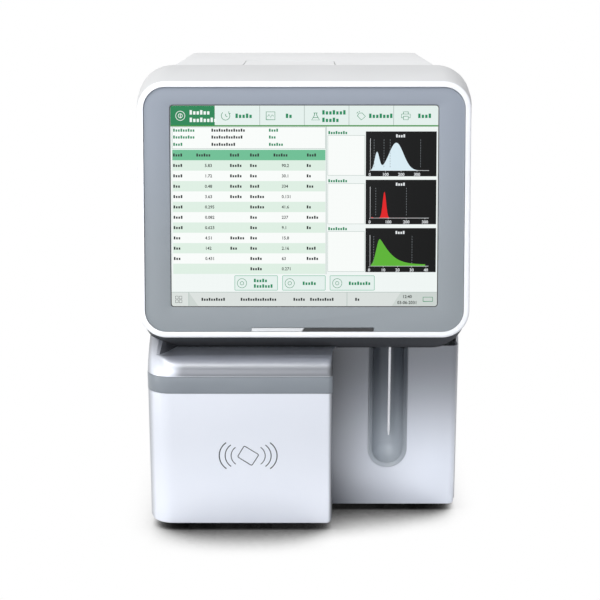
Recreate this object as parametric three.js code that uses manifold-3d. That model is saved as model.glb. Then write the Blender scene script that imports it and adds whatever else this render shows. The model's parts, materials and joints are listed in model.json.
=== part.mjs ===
// A bench-top blood cell analyser: a tilted touch-screen head over a two-depth lower front,
// a sample probe hanging in a rounded channel, a slip recorder in the top cover,
// and the fluid and electronic units inside. Millimetres, +Z up, the front faces -Y.
import * as THREE from 'three';
import { mergeVertices } from 'three/addons/utils/BufferGeometryUtils.js';
import Module from 'manifold-3d';

const wasm = await Module();
wasm.setup();

// Shared sizes
const fit = 0.3; // gap kept between pieces that touch
const runFit = 0.3; // radial gap of a turning or sliding piece
const overrun = 4; // how far a cutter runs past what it cuts
const wall = 2.5; // moulded cover wall
const sheet = 2; // steel sheet
const boardThickness = 1.6;

// Head
const screenWidth = 246;
const screenHeight = 184.5;
const screenRaise = 318.4; // middle of the screen above the table
const headTilt = THREE.MathUtils.degToRad(9);
const windowMargin = 0.9;
const windowCorner = 3;
const bezelSide = 25; // how far the bezel reaches beside, above and below the screen
const bezelAbove = 16.95;
const bezelBelow = 23.95;
const bezelCorner = 20;
const bezelThickness = 3;
const bezelHalfWidth = screenWidth / 2 + bezelSide;
const bezelLow = -screenHeight / 2 - bezelBelow;
const bezelHigh = screenHeight / 2 + bezelAbove;
const rimFace = 5.4;
const rimProud = 1.4;
const rimDepth = 12;
const rimRound = 2.2;
const rimHalfWidth = bezelHalfWidth + rimFace;
const rimLow = bezelLow - rimFace;
const rimHigh = bezelHigh + rimFace;
const rimCorner = bezelCorner + rimFace;
const ledgeWidth = 8;
const glassSet = 0.8;
const moduleMargin = 6;
const trayMargin = 14;
const lightLeft = -48.9;
const lightSplit = -2;
const lightRight = 64.3;
const lightHeight = 3.2;
const lightSlant = 2.4;
const lightProud = 0.3;

// Shroud behind the head's rim, which it outgrows on its way back
const shroudMidDepth = 50;
const shroudMidFlare = 5.1;
const shroudFlare = 6.6;
const shroudRise = 10;
const shroudDrop = 31.3;
const shroudMidDip = 4.5;
const shroudMidLift = 3.1;
const shroudMidHalfWidth = rimHalfWidth + shroudMidFlare;
const shroudHalfWidth = rimHalfWidth + shroudFlare;
const shroudTop = screenRaise + rimHigh + shroudRise;
const shroudBottom = screenRaise + rimLow - shroudDrop;
const shroudMidTop = shroudTop - shroudMidDip;
const shroudMidBottom = shroudBottom + shroudMidLift;
const shroudBack = 80;
const shroudCorner = 34;
const shroudBackRound = 3;
const shroudEdgeShare = 0.7; // of its rounding, at the rearmost ring
const shroudFlange = 24;

// Body, seen from the front: Y is zero at the middle of the screen
const frontHalfWidth = 151; // lower front covers
const bulgeFront = -6; // front face of the left lower cover
const bulgeRight = 27; // its right wall
const panelFront = 44.7; // front face of the right lower panel, set back
const seam = 62; // where the side panels begin
const bodyBack = 336;
const skirt = 6; // underside of the covers above the table
const lipHeight = 3; // turned-in lower edge of the covers
const lipReach = 6;
const bodyDip = 2; // body's top below the shroud's
const bodyTop = shroudTop - bodyDip;
const topFlatHalf = 128; // half width of the flat top
const shoulderDrop = 29; // height of the sloping shoulders
const shoulderBottom = bodyTop - shoulderDrop;
const shoulderRound = 9;
const sideHalfWidth = frontHalfWidth + wall;

// Lower front covers
const bulgeCorner = 24;
const bulgeRightCorner = 5;
const panelCorner = 6;
const edgeRound = 0.6;
const lowerRound = 4;
const coveUnderShroud = 7.5;
const coveStart = shroudBottom - coveUnderShroud; // height where the left cover starts to lean back
const coveRise = coveUnderShroud + shroudMidLift - fit;
const coveReach = shroudMidDepth - bulgeFront;
const coveRound = 14;
const coveFlare = 20; // spread of the cover's right wall at the top of the cove
const coveFlarePower = 6;
const pillarWidth = 17; // the corner that stands beside the cove
const pillarRise = 32;
const pillarReach = 24;
const pillarGrowth = 16;
const bandUnderCove = 18.6;
const bandBottom = coveStart - bandUnderCove;
const bandHeight = 16.6;
const bandProud = 0.2;
const bandDepth = 1;

// Sample probe, its channel and its lift
const probeX = 84.5;
const probeY = 51;
const needleRadius = 1.3;
const needleTip = 78;
const needleCone = 6;
const needleHole = 5;
const channelX = 82.9;
const channelRadius = 19.4;
const channelBottom = 46;
const channelLip = 3.6;
const channelLipDepth = 2.4;
const channelDepth = 17;
const channelProud = 0.6;
const liftWidth = 62;
const liftInShroud = 26.5;
const liftBottom = shroudBottom + liftInShroud;
const liftPlate = 4;
const liftSpan = 119; // clear height between the lift's plates
const carriageGap = 5;
const carriageRaise = liftBottom + liftPlate + carriageGap;
const carriageHeight = 16;
const carriageDepth = 16;
const rodRadius = 3;
const screwRadius = 4;
const screwOffset = 12;
const liftMotorSide = 35;
const liftMotorHeight = 28;
const liftAxisBack = 18;
const rodInset = 8;
const washSide = 18;
const washHeight = 11;

// Slip recorder in the top cover
const recorderLeft = -59.5;
const recorderRight = 30;
const recorderBehindShroud = 6;
const recorderLength = 94;
const recorderFront = shroudBack + recorderBehindShroud;
const recorderBack = recorderFront + recorderLength;
const recorderGap = 0.6;
const paperGap = 1.6;
const bucketDepth = 66;
const lidBarrel = 5;
const lidBore = 1.5;
const hingePinRadius = 1.2;
const rollRadius = 24;
const rollWidth = 57;
const rollSetBack = 52; // from the opening's front edge, and down from the cover
const rollDrop = 37;
const rollY = recorderFront + rollSetBack;
const rollZ = bodyTop - rollDrop;
const spindleRadius = 6;
const spindleDisc = 15;
const discThickness = 2;
const platenRadius = 5;
const platenShaft = 2;
const platenSetBack = 14;
const platenDrop = 11;
const platenY = recorderFront + platenSetBack;
const platenZ = bodyTop - platenDrop;
const cheekThickness = 3;
const cheekHalfDepth = 6;
const cheekDrop = 5;
const printHeadDepth = 7;
const printHeadHeight = 16;
const printHeadRise = 1;

// Chassis
const footInset = 31;
const feetX = frontHalfWidth - footInset;
const footFrontLeftY = 22;
const footFrontRightY = 78;
const footBackY = 306;
const footTopRadius = 12;
const footBottomRadius = 10;
const flangeWidth = 14;
const cableWindowHalf = 20;
const cableWindowBottom = 240;
const trayCableHalf = 18;
const bracketX = 112;
const bracketOverLift = 37;
const bracketHeight = 36;
const bracketBottom = liftBottom + liftPlate + liftSpan + bracketOverLift;
const bracketTop = bracketBottom + bracketHeight;
const bracketPad = 14;
const frameTop = 330;
const fluidFrameX = -58;
const circuitInset = 33;
const circuitFrameX = frontHalfWidth - circuitInset;
const frameFront = 100;
const frameBack = 322;
const fluidFrameBack = 306;

// Fluid units
const bathX = 62;
const bathPitch = 34;
const bathRadius = 12;
const bathWall = 2;
const bathBottom = 232;
const bathHeight = 58;
const bathNeck = 4;
const bathSetBack = 20;
const bathShelf = 5;
const bathBracketHeight = 44;
const barrelLargeRadius = 12;
const barrelSmallRadius = 8;
const barrelWall = 2;
const barrelLength = 84;
const barrelTop = 236;
const syringeX = -90;
const syringeY = 150;
const syringePitch = 24;
const clampHeight = 10;
const clampHalfWidth = 16;
const clampHalfDepth = 42;
const crossheadRest = 60;
const crossheadHeight = 8;
const crossheadHalfWidth = 14;
const pistonHeight = 10;
const pistonRest = 174;
const plungerRodRadius = 3.5;
const syringeMotorSide = 42;
const syringeMotorHeight = 40;
const manifoldFront = 206;
const manifoldBack = 300;
const manifoldBottom = 70;
const manifoldTop = 220;
const manifoldThickness = 14;
const valveRadius = 9;
const valveLength = 34;
const valveColumns = 2;
const valveRows = 4;
const pumpX = -20;
const pumpY = 140;
const pumpSide = 42;
const pumpHeight = 34;
const pumpMotorRadius = 14;
const pumpMotorLength = 38;
const chamberX = 30;
const chamberY = 134;
const chamberRadius = 25;
const chamberHeight = 104;
const chamberCap = 10;

// Electronics
const supplyWidth = 52;
const supplyFront = 150;
const supplyBack = 310;
const supplyHeight = 92;
const mainBoardFront = 110;
const mainBoardBottom = 130;
const mainBoardTop = 320;
const standoff = 5;
const standoffRadius = 3;
const chipHeight = 3;
const chipSide = 26;
const chipShares = [1 / 5, 3 / 5]; // of the board's length
const readerX = -54;
const readerZ = 77;
const readerWidth = 84;
const readerHeight = 62;

// Rear panel fittings
const fanX = -70;
const fanZ = 340;
const fanSide = 80;
const fanDepth = 20;
const fanBore = 38;
const fanHub = 16;
const fanTipGap = 1.2;
const fanBlades = 7;
const fanPin = 3;
const fanStrut = 5;
const guardWire = 1;
const guardBar = 1.4;
const guardRings = 3;
const entryX = 92;
const entryZ = 62;
const entryHalfWidth = 25;
const entryBottom = -16;
const entryTop = 40;
const entryFlange = 3;
const entryDepth = 22;
const socketHalfWidth = 12;
const socketHalfHeight = 8.5;
const socketDepth = 16;
const pinWidth = 4;
const pinThickness = 2;
const pinPitch = 7;
const pinRise = 0.5;
const pinEarthRise = 3;
const rockerZ = 26;
const rockerHalfWidth = 9;
const rockerHalfHeight = 8;
const rockerDepth = 9;
const rockerAngle = THREE.MathUtils.degToRad(9);
const rockerPivot = 5;
const portX = -112;
const portPitch = 26;
const portZ = 62;
const portRadius = 4.5;
const portFlange = 9;
const portFlangeDepth = 4;
const portLength = 18;
const portBarbs = 3;
const barbNeckShare = 0.72; // of the port's radius
const dataZ = 214;
const dataHeight = 58;
const dataWidth = 17;
const dataDepth = 18;
const dataProud = 1.5;
const lanHeight = 11.5;
const lanWidth = 8.5;
const usbHeight = 13;
const usbWidth = 5.2;
const jackDepth = 14;
const screwShank = 1.6;
const slotCount = 7;
const slotHeight = 3;
const slotPitch = 9;
const slotLength = 78;
const slotBottom = 70;
const slotFront = 214;

// How many flat sides stand in for a round one
const arcSteps = 6;
const fineSides = 32;
const sides = 20;
const smallSides = 12;
const wireSides = 4;

const colour = (hex, roughness, metalness = 0) =>
  new THREE.MeshStandardMaterial({ color: hex, roughness, metalness });
const whitePlastic = colour('#e9eaec', 0.45);
const silverPlastic = colour('#d5dae5', 0.4);
const greyTrim = colour('#8b9298', 0.45);
const greyBezel = colour('#949da7', 0.42);
const darkPlastic = colour('#26282b', 0.5);
const blackPlastic = colour('#17181a', 0.45);
const lightLens = colour('#cfd1d2', 0.2);
const screenGlass = colour('#eaf3f0', 0.12);
const steel = colour('#b9bdc0', 0.35, 0.9);
const zincSheet = colour('#a9adb1', 0.5, 0.8);
const aluminium = colour('#c3c6c9', 0.4, 0.9);
const rubber = colour('#1d1d1e', 0.85);
const circuitGreen = colour('#1f6b45', 0.55);
const clearAcrylic = colour('#dfe8ea', 0.1);
const thermalPaper = colour('#f4f4f1', 0.8);
const motorBlack = colour('#2a2b2d', 0.5, 0.4);

function solidOf(geometry) {
  const bare = geometry.clone();
  for (const name of Object.keys(bare.attributes)) {
    if (name !== 'position') bare.deleteAttribute(name);
  }
  const welded = mergeVertices(bare);
  return new wasm.Manifold(new wasm.Mesh({
    numProp: 3,
    vertProperties: new Float32Array(welded.attributes.position.array),
    triVerts: new Uint32Array(welded.index.array),
  }));
}

function geometryOf(solid) {
  const { vertProperties, triVerts } = solid.getMesh();
  const geometry = new THREE.BufferGeometry();
  geometry.setAttribute('position', new THREE.BufferAttribute(vertProperties, 3));
  geometry.setIndex(new THREE.BufferAttribute(triVerts, 1));
  geometry.computeVertexNormals();
  return geometry;
}

function place(parent, name, solid, material) {
  const mesh = new THREE.Mesh(geometryOf(solid), material);
  mesh.name = name;
  parent.add(mesh);
  return mesh;
}

const unite = (first, ...others) => others.reduce((sum, piece) => sum.add(piece), first);
const cut = (first, ...others) => others.reduce((rest, piece) => rest.subtract(piece), first);

// A block between two corners
function block(x0, x1, y0, y1, z0, z1) {
  const geometry = new THREE.BoxGeometry(x1 - x0, y1 - y0, z1 - z0);
  return solidOf(geometry.translate((x0 + x1) / 2, (y0 + y1) / 2, (z0 + z1) / 2));
}

// Where a flat outline's two directions and its thickness point
const planes = {
  xy: new THREE.Matrix4(),
  yz: new THREE.Matrix4().makeBasis(
    new THREE.Vector3(0, 1, 0), new THREE.Vector3(0, 0, 1), new THREE.Vector3(1, 0, 0)),
  xz: new THREE.Matrix4().makeBasis(
    new THREE.Vector3(1, 0, 0), new THREE.Vector3(0, 0, 1), new THREE.Vector3(0, -1, 0)),
};

// An outline given thickness between two places on the axis square to its plane
function slab(shape, plane, low, high, curveSegments = arcSteps / 2) {
  const geometry = new THREE.ExtrudeGeometry(shape, {
    depth: high - low, bevelEnabled: false, curveSegments,
  });
  geometry.applyMatrix4(planes[plane]);
  if (plane === 'xy') geometry.translate(0, 0, low);
  if (plane === 'yz') geometry.translate(low, 0, 0);
  if (plane === 'xz') geometry.translate(0, high, 0);
  return solidOf(geometry);
}

// A polygon of [x, y, corner radius] points with its corners rounded
function rounded(points) {
  const shape = new THREE.Shape();
  const count = points.length;
  points.forEach(([x, y, radius], index) => {
    const corner = new THREE.Vector2(x, y);
    const before = new THREE.Vector2(...points[(index + count - 1) % count]).sub(corner).normalize();
    const after = new THREE.Vector2(...points[(index + 1) % count]).sub(corner).normalize();
    if (!radius) {
      if (index) shape.lineTo(x, y);
      else shape.moveTo(x, y);
      return;
    }
    const half = Math.acos(THREE.MathUtils.clamp(before.dot(after), -1, 1)) / 2;
    const start = corner.clone().addScaledVector(before, radius / Math.tan(half));
    const end = corner.clone().addScaledVector(after, radius / Math.tan(half));
    const middle = before.clone().add(after).normalize();
    const centre = corner.clone().addScaledVector(middle, radius / Math.sin(half));
    if (index) shape.lineTo(start.x, start.y);
    else shape.moveTo(start.x, start.y);
    const from = start.clone().sub(centre).angle();
    const to = end.clone().sub(centre).angle();
    shape.absarc(centre.x, centre.y, radius, from, to, before.cross(after) > 0);
  });
  shape.closePath();
  return shape;
}

const rectangle = (x0, x1, y0, y1, radius = 0) =>
  rounded([[x0, y0, radius], [x1, y0, radius], [x1, y1, radius], [x0, y1, radius]]);

// A round bar along an axis; at gives its two other coordinates in x, y, z order
function bar(axis, radius, low, high, at, count = sides, endRadius = radius) {
  const geometry = new THREE.CylinderGeometry(endRadius, radius, high - low, count);
  const middle = (low + high) / 2;
  if (axis === 'x') geometry.rotateZ(-Math.PI / 2).translate(middle, at[0], at[1]);
  if (axis === 'y') geometry.translate(at[0], middle, at[1]);
  if (axis === 'z') geometry.rotateX(Math.PI / 2).translate(at[0], at[1], middle);
  return solidOf(geometry);
}

// A turned piece: the profile's [radius, height] points run up its outside
function turned(profile, axis, at, count = sides) {
  const points = profile.map(([radius, height]) => new THREE.Vector2(radius, height));
  const geometry = new THREE.LatheGeometry(points, count);
  if (axis === 'x') geometry.rotateZ(-Math.PI / 2);
  if (axis === 'z') geometry.rotateX(Math.PI / 2);
  return solidOf(geometry.translate(...at));
}

// A closed body through rings of equal point counts, whichever way round the rings run
function loft(rings) {
  const count = rings[0].length;
  const positions = [];
  const push = (...corners) => corners.forEach((corner) => positions.push(...corner.toArray()));
  const centreOf = (ring) =>
    ring.reduce((sum, point) => sum.add(point), new THREE.Vector3()).divideScalar(count);
  const firstCentre = centreOf(rings[0]);
  const lastCentre = centreOf(rings.at(-1));
  for (let index = 0; index < count; index += 1) {
    const next = (index + 1) % count;
    push(firstCentre, rings[0][next], rings[0][index]);
    push(lastCentre, rings.at(-1)[index], rings.at(-1)[next]);
    for (let level = 0; level + 1 < rings.length; level += 1) {
      const [low, high] = [rings[level], rings[level + 1]];
      push(low[index], low[next], high[index]);
      push(low[next], high[next], high[index]);
    }
  }
  let volume = 0;
  const [a, b, c] = [new THREE.Vector3(), new THREE.Vector3(), new THREE.Vector3()];
  for (let at = 0; at < positions.length; at += 9) {
    a.fromArray(positions, at);
    b.fromArray(positions, at + 3);
    c.fromArray(positions, at + 6);
    volume += a.dot(b.cross(c));
  }
  if (volume < 0) {
    for (let at = 0; at < positions.length; at += 9) {
      const second = positions.slice(at + 3, at + 6);
      positions.splice(at + 3, 3, ...positions.slice(at + 6, at + 9));
      positions.splice(at + 6, 3, ...second);
    }
  }
  const geometry = new THREE.BufferGeometry();
  geometry.setAttribute('position', new THREE.Float32BufferAttribute(positions, 3));
  return solidOf(geometry);
}

function arc(centreX, centreY, radius, fromDegrees, toDegrees, steps = arcSteps) {
  return Array.from({ length: steps + 1 }, (_, step) => {
    const angle = THREE.MathUtils.degToRad(fromDegrees + (toDegrees - fromDegrees) * step / steps);
    return [centreX + radius * Math.cos(angle), centreY + radius * Math.sin(angle)];
  });
}

function roundRectPoints(x0, x1, y0, y1, radius) {
  return [
    ...arc(x1 - radius, y0 + radius, radius, -90, 0),
    ...arc(x1 - radius, y1 - radius, radius, 0, 90),
    ...arc(x0 + radius, y1 - radius, radius, 90, 180),
    ...arc(x0 + radius, y0 + radius, radius, 180, 270),
  ];
}

const headPoint = (x, y, z) => new THREE.Vector3(
  x,
  y * Math.cos(headTilt) + z * Math.sin(headTilt),
  screenRaise + z * Math.cos(headTilt) - y * Math.sin(headTilt),
);

const machine = new THREE.Group();
const head = new THREE.Group();
head.position.z = screenRaise;
head.rotation.x = -headTilt;
machine.add(head);

// Head: rim, bezel, glass, display and status light, drawn square and tilted by their group

function headRing(y, inset) {
  const points = roundRectPoints(
    -rimHalfWidth + inset, rimHalfWidth - inset, rimLow + inset, rimHigh - inset, rimCorner - inset);
  return points.map(([x, z]) => new THREE.Vector3(x, y, z));
}

function headRim() {
  const body = loft([
    headRing(-rimProud, rimRound),
    headRing(-rimProud + rimRound / 4, rimRound / 3),
    headRing(-rimProud + rimRound, 0),
    headRing(rimDepth, 0),
  ]);
  const bezelSeat = slab(
    rectangle(-bezelHalfWidth, bezelHalfWidth, bezelLow, bezelHigh, bezelCorner),
    'xz', -rimProud - overrun, bezelThickness + fit);
  const opening = slab(
    rectangle(-bezelHalfWidth + ledgeWidth, bezelHalfWidth - ledgeWidth,
      bezelLow + ledgeWidth, bezelHigh - ledgeWidth, bezelCorner - ledgeWidth),
    'xz', 0, rimDepth + overrun);
  return cut(body, bezelSeat, opening);
}

function headBezel() {
  const halfWidth = bezelHalfWidth - fit;
  const plate = slab(
    rectangle(-halfWidth, halfWidth, bezelLow + fit, bezelHigh - fit, bezelCorner - fit),
    'xz', 0, bezelThickness);
  const halfWindow = screenWidth / 2 + windowMargin;
  const halfHeight = screenHeight / 2 + windowMargin;
  const window = slab(
    rectangle(-halfWindow, halfWindow, -halfHeight, halfHeight, windowCorner),
    'xz', -overrun, bezelThickness + overrun);
  const notch = block(lightLeft - fit, lightRight + fit, -overrun, bezelThickness + overrun,
    bezelLow - overrun, bezelLow + fit + lightHeight + fit);
  return cut(plate, window, notch);
}

function touchGlass() {
  const halfWidth = screenWidth / 2 + windowMargin - fit;
  const halfHeight = screenHeight / 2 + windowMargin - fit;
  return slab(rectangle(-halfWidth, halfWidth, -halfHeight, halfHeight, windowCorner - fit),
    'xz', glassSet, bezelThickness);
}

function displayModule() {
  const halfWidth = screenWidth / 2 + moduleMargin;
  const halfHeight = screenHeight / 2 + moduleMargin;
  return block(-halfWidth, halfWidth, bezelThickness + fit, rimDepth, -halfHeight, halfHeight);
}

const trayHalfWidth = screenWidth / 2 + moduleMargin + trayMargin / 2;
const trayHalfHeight = screenHeight / 2 + moduleMargin + trayMargin / 2;
const trayDrop = (bezelBelow - bezelAbove) / 2;

function displayTray() {
  const plate = block(-trayHalfWidth, trayHalfWidth, rimDepth + fit, rimDepth + fit + sheet,
    -trayHalfHeight - trayDrop, trayHalfHeight - trayDrop);
  const cableSlot = block(-trayCableHalf, trayCableHalf, rimDepth, rimDepth + sheet + overrun,
    -trayCableHalf / 2, trayCableHalf / 2);
  return cut(plate, cableSlot);
}

// The light strip's two windows meet at a slanted joint
function lightStrip(left, right, leftLean, rightLean) {
  const low = bezelLow + fit;
  const shape = rounded([
    [left, low], [right, low], [right + rightLean, low + lightHeight],
    [left + leftLean, low + lightHeight],
  ].map(([x, z]) => [x, z, 0]));
  return slab(shape, 'xz', -lightProud, bezelThickness);
}

place(head, 'head_rim', headRim(), whitePlastic);
place(head, 'head_bezel', headBezel(), greyBezel);
place(head, 'touch_glass', touchGlass(), screenGlass);
place(head, 'display_module', displayModule(), zincSheet);
place(head, 'display_tray', displayTray(), zincSheet);
place(head, 'status_light', lightStrip(lightLeft, lightSplit - fit * 2, 0, lightSlant), lightLens);
place(head, 'status_window', lightStrip(lightSplit, lightRight, lightSlant, 0), blackPlastic);

// Shroud: a loft from the tilted rim back to an upright rear edge

function uprightRing(y, halfWidth, bottom, top, radius) {
  return roundRectPoints(-halfWidth, halfWidth, bottom, top, radius)
    .map(([x, z]) => new THREE.Vector3(x, y, z));
}

function shroudBody(offset, extraFront = 0, extraBack = 0) {
  const front = headRing(rimDepth + fit, offset).map(({ x, y, z }) =>
    headPoint(x, y - extraFront, z));
  const mid = uprightRing(shroudMidDepth, shroudMidHalfWidth - offset, shroudMidBottom + offset,
    shroudMidTop - offset, shroudCorner - offset);
  const back = uprightRing(shroudBack - shroudBackRound, shroudHalfWidth - offset,
    shroudBottom + offset, shroudTop - offset, shroudCorner - offset);
  const edgeInset = offset + shroudBackRound * shroudEdgeShare;
  const edge = uprightRing(shroudBack + extraBack, shroudHalfWidth - edgeInset,
    shroudBottom + edgeInset, shroudTop - edgeInset, shroudCorner - edgeInset);
  return loft([front, mid, back, edge]);
}

function headShroud() {
  const hollow = shroudBody(wall, overrun).intersect(block(-shroudHalfWidth, shroudHalfWidth,
    -shroudBack, shroudBack - wall, 0, shroudTop));
  const backOpening = slab(
    rectangle(-shroudHalfWidth + shroudFlange, shroudHalfWidth - shroudFlange,
      shroudBottom + shroudFlange, shroudTop - shroudFlange, shroudCorner - shroudFlange),
    'xz', shroudBack - wall - overrun, shroudBack + overrun);
  const needlePass = bar('z', needleHole, skirt, liftBottom, [probeX, probeY]);
  return cut(shroudBody(0), hollow, backOpening, needlePass);
}

place(machine, 'head_shroud', headShroud(), whitePlastic);

// What the covers below and behind keep clear of
const shroudSpace = shroudBody(-fit, fit, fit);

// Lower front covers, drawn as plan rings from the table up

function planRing(z, left, right, front, back, leftRadius, rightRadius) {
  return [
    ...arc(right - rightRadius, front + rightRadius, rightRadius, -90, 0),
    [right, back],
    [left, back],
    ...arc(left + leftRadius, front + leftRadius, leftRadius, 180, 270),
  ].map(([x, y]) => new THREE.Vector3(x, y, z));
}

function bulgeRing(z, inset, rise = 0, backExtra = 0) {
  const lean = rise / pillarRise;
  const flare = inset > 0 ? 0 : coveFlare * Math.min(rise / coveRise, 1) ** coveFlarePower;
  return planRing(z, -frontHalfWidth + inset, bulgeRight - inset + flare,
    bulgeFront + inset + pillarReach * lean ** 2, seam - fit + backExtra,
    bulgeCorner - inset + pillarGrowth * lean, Math.max(bulgeRightCorner - inset, edgeRound));
}

const coveSteps = Array.from({ length: arcSteps + 1 }, (_, step) => step / arcSteps);

function bulgeBody(inset, bottom, backExtra = 0) {
  const rises = [
    ...coveSteps.map((share) => coveRise * share),
    ...coveSteps.slice(1).map((share) => coveRise + (pillarRise - coveRise) * share),
  ];
  return loft([...bottom, ...rises.map((rise) => bulgeRing(coveStart + rise, inset, rise, backExtra))]);
}

// What is taken out of the left cover under the head, beside the pillar at its corner
function coveSpace(grown) {
  const left = -frontHalfWidth + pillarWidth - grown;
  const right = frontHalfWidth;
  const front = bulgeFront - coveRound;
  const ring = (z, share) => {
    const back = bulgeFront + grown + coveReach * share ** 2;
    const round = edgeRound + (coveRound - edgeRound) * share;
    return [[left, front], [right, front], [right, back], ...arc(left + round, back - round, round, 90, 180)]
      .map(([x, y]) => new THREE.Vector3(x, y, z));
  };
  return loft([
    ...coveSteps.map((share) => ring(coveStart - grown + coveRise * share, share)),
    ring(coveStart + pillarRise + overrun, 1),
  ]);
}

const lipTop = skirt + lipHeight;
const underHead = shroudMidBottom + lowerRound; // top of the pieces that the shroud then trims

function bandRegion(innerInset, outerInset, low, high, rightEnd) {
  const outer = loft([bulgeRing(low, outerInset), bulgeRing(high, outerInset)]);
  const inner = loft([
    bulgeRing(low - overrun, innerInset, 0, overrun),
    bulgeRing(high + overrun, innerInset, 0, overrun),
  ]);
  const behindPanel = block(0, frontHalfWidth, rightEnd, seam + overrun, low - overrun, high + overrun);
  return cut(outer, inner, behindPanel);
}

function frontLeftCover() {
  const body = bulgeBody(0, [
    bulgeRing(skirt, lowerRound),
    bulgeRing(skirt + lowerRound / 4, lowerRound / 3),
    bulgeRing(skirt + lowerRound, 0),
  ]);
  const hollow = cut(bulgeBody(wall, [bulgeRing(lipTop, wall, 0, overrun)], overrun), coveSpace(wall));
  const topHollow = cut(loft([
    bulgeRing(coveStart + pillarRise - overrun, wall, pillarRise, overrun),
    bulgeRing(coveStart + pillarRise + overrun, wall, pillarRise, overrun),
  ]), coveSpace(wall));
  const floor = loft([
    bulgeRing(skirt - overrun, lowerRound + lipReach, 0, overrun),
    bulgeRing(lipTop + overrun, lowerRound + lipReach, 0, overrun),
  ]);
  const groove = bandRegion(bandDepth + fit, -overrun, bandBottom, bandBottom + bandHeight, panelFront);
  const behindPanel = block(bulgeRight - wall - overrun / 2, frontHalfWidth, panelFront + wall,
    seam + overrun, 0, shroudTop);
  const besidePanel = block(bulgeRight, frontHalfWidth, panelFront - fit, seam + overrun, coveStart,
    shroudTop);
  return cut(body, coveSpace(0), hollow, topHollow, floor, groove, behindPanel, besidePanel, shroudSpace);
}

function trimBand() {
  return bandRegion(bandDepth, -bandProud, bandBottom + fit, bandBottom + bandHeight - fit,
    panelFront - fit);
}

const panelLeft = bulgeRight + fit;

function panelRing(z, inset, leftExtra = 0, backExtra = 0) {
  return planRing(z, panelLeft - leftExtra, frontHalfWidth - inset, panelFront + inset,
    seam - fit + backExtra, edgeRound, panelCorner - inset);
}

// The slot outline shared by the panel's opening and the channel's lip
function channelShape(radius) {
  const shape = new THREE.Shape();
  const centre = channelBottom + channelRadius;
  shape.moveTo(channelX + radius, underHead);
  shape.lineTo(channelX - radius, underHead);
  shape.lineTo(channelX - radius, centre);
  shape.absarc(channelX, centre, radius, Math.PI, 2 * Math.PI, false);
  shape.closePath();
  return shape;
}

function frontRightPanel() {
  const body = loft([
    panelRing(skirt, lowerRound / 2),
    panelRing(skirt + lowerRound / 2, 0),
    panelRing(underHead, 0),
  ]);
  const hollow = loft([
    panelRing(lipTop, wall, overrun, overrun),
    panelRing(underHead + overrun, wall, overrun, overrun),
  ]);
  const floor = loft([
    panelRing(skirt - overrun, lipReach, overrun, overrun),
    panelRing(lipTop + overrun, lipReach, overrun, overrun),
  ]);
  const opening = slab(channelShape(channelRadius), 'xz', panelFront - overrun,
    panelFront + wall + overrun, arcSteps * 2);
  return cut(body, hollow, floor, opening, shroudSpace);
}

// The scoop behind the lip: a half round channel that ends in a quarter of an egg
function scoop(radius, depth) {
  const centre = channelBottom + channelRadius;
  const shaft = new THREE.CylinderGeometry(radius, radius, underHead - centre, fineSides);
  shaft.rotateX(Math.PI / 2).scale(1, depth / radius, 1);
  shaft.translate(channelX, panelFront, (underHead + centre) / 2);
  const end = new THREE.SphereGeometry(radius, fineSides, fineSides / 2);
  end.rotateX(Math.PI / 2).scale(1, depth / radius, 1);
  end.translate(channelX, panelFront, centre);
  return unite(solidOf(shaft), solidOf(end));
}

function probeChannel() {
  const plateRadius = channelRadius - fit;
  const innerRadius = channelRadius - channelLip;
  const plate = slab(channelShape(plateRadius), 'xz', panelFront - channelProud,
    panelFront + wall, arcSteps * 2);
  const inFront = block(-frontHalfWidth, frontHalfWidth, bulgeFront, panelFront, 0, shroudTop);
  const shell = cut(scoop(innerRadius + wall, channelDepth + wall), inFront);
  const mouth = slab(channelShape(innerRadius), 'xz', panelFront - overrun, panelFront + fit,
    arcSteps * 2);
  const funnelWide = channelShape(plateRadius - edgeRound).getPoints(arcSteps * 2);
  const funnelNarrow = channelShape(innerRadius).getPoints(arcSteps * 2);
  const ringAt = (points, y) => points.map((point) => new THREE.Vector3(point.x, y, point.y));
  const unique = (points) => points.filter((point, index) =>
    index === 0 || point.distanceTo(points[index - 1]) > fit / 2);
  const wide = unique(funnelWide.slice(0, -1));
  const narrow = unique(funnelNarrow.slice(0, -1));
  const count = Math.min(wide.length, narrow.length);
  const funnel = loft([
    ringAt(wide.slice(0, count), panelFront - channelProud - fit),
    ringAt(narrow.slice(0, count), panelFront - channelProud + channelLipDepth),
  ]);
  return cut(unite(plate, shell), scoop(innerRadius, channelDepth), mouth, funnel, shroudSpace);
}

place(machine, 'front_left_cover', frontLeftCover(), silverPlastic);
place(machine, 'trim_band', trimBand(), greyTrim);
place(machine, 'front_right_panel', frontRightPanel(), silverPlastic);
place(machine, 'probe_channel', probeChannel(), greyTrim);

// Side, top and rear covers

function bodyOutline(inset, bottom) {
  const side = sideHalfWidth - inset;
  const flat = topFlatHalf - inset / 2;
  const top = bodyTop - inset;
  return rounded([
    [-side, bottom, 0], [side, bottom, 0], [side, shoulderBottom, shoulderRound],
    [flat, top, shoulderRound], [-flat, top, shoulderRound], [-side, shoulderBottom, shoulderRound],
  ]);
}

const coverFront = shroudBack + fit;
const coverBack = bodyBack - sheet - fit;
const sideTop = shoulderBottom - shoulderRound;

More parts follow.
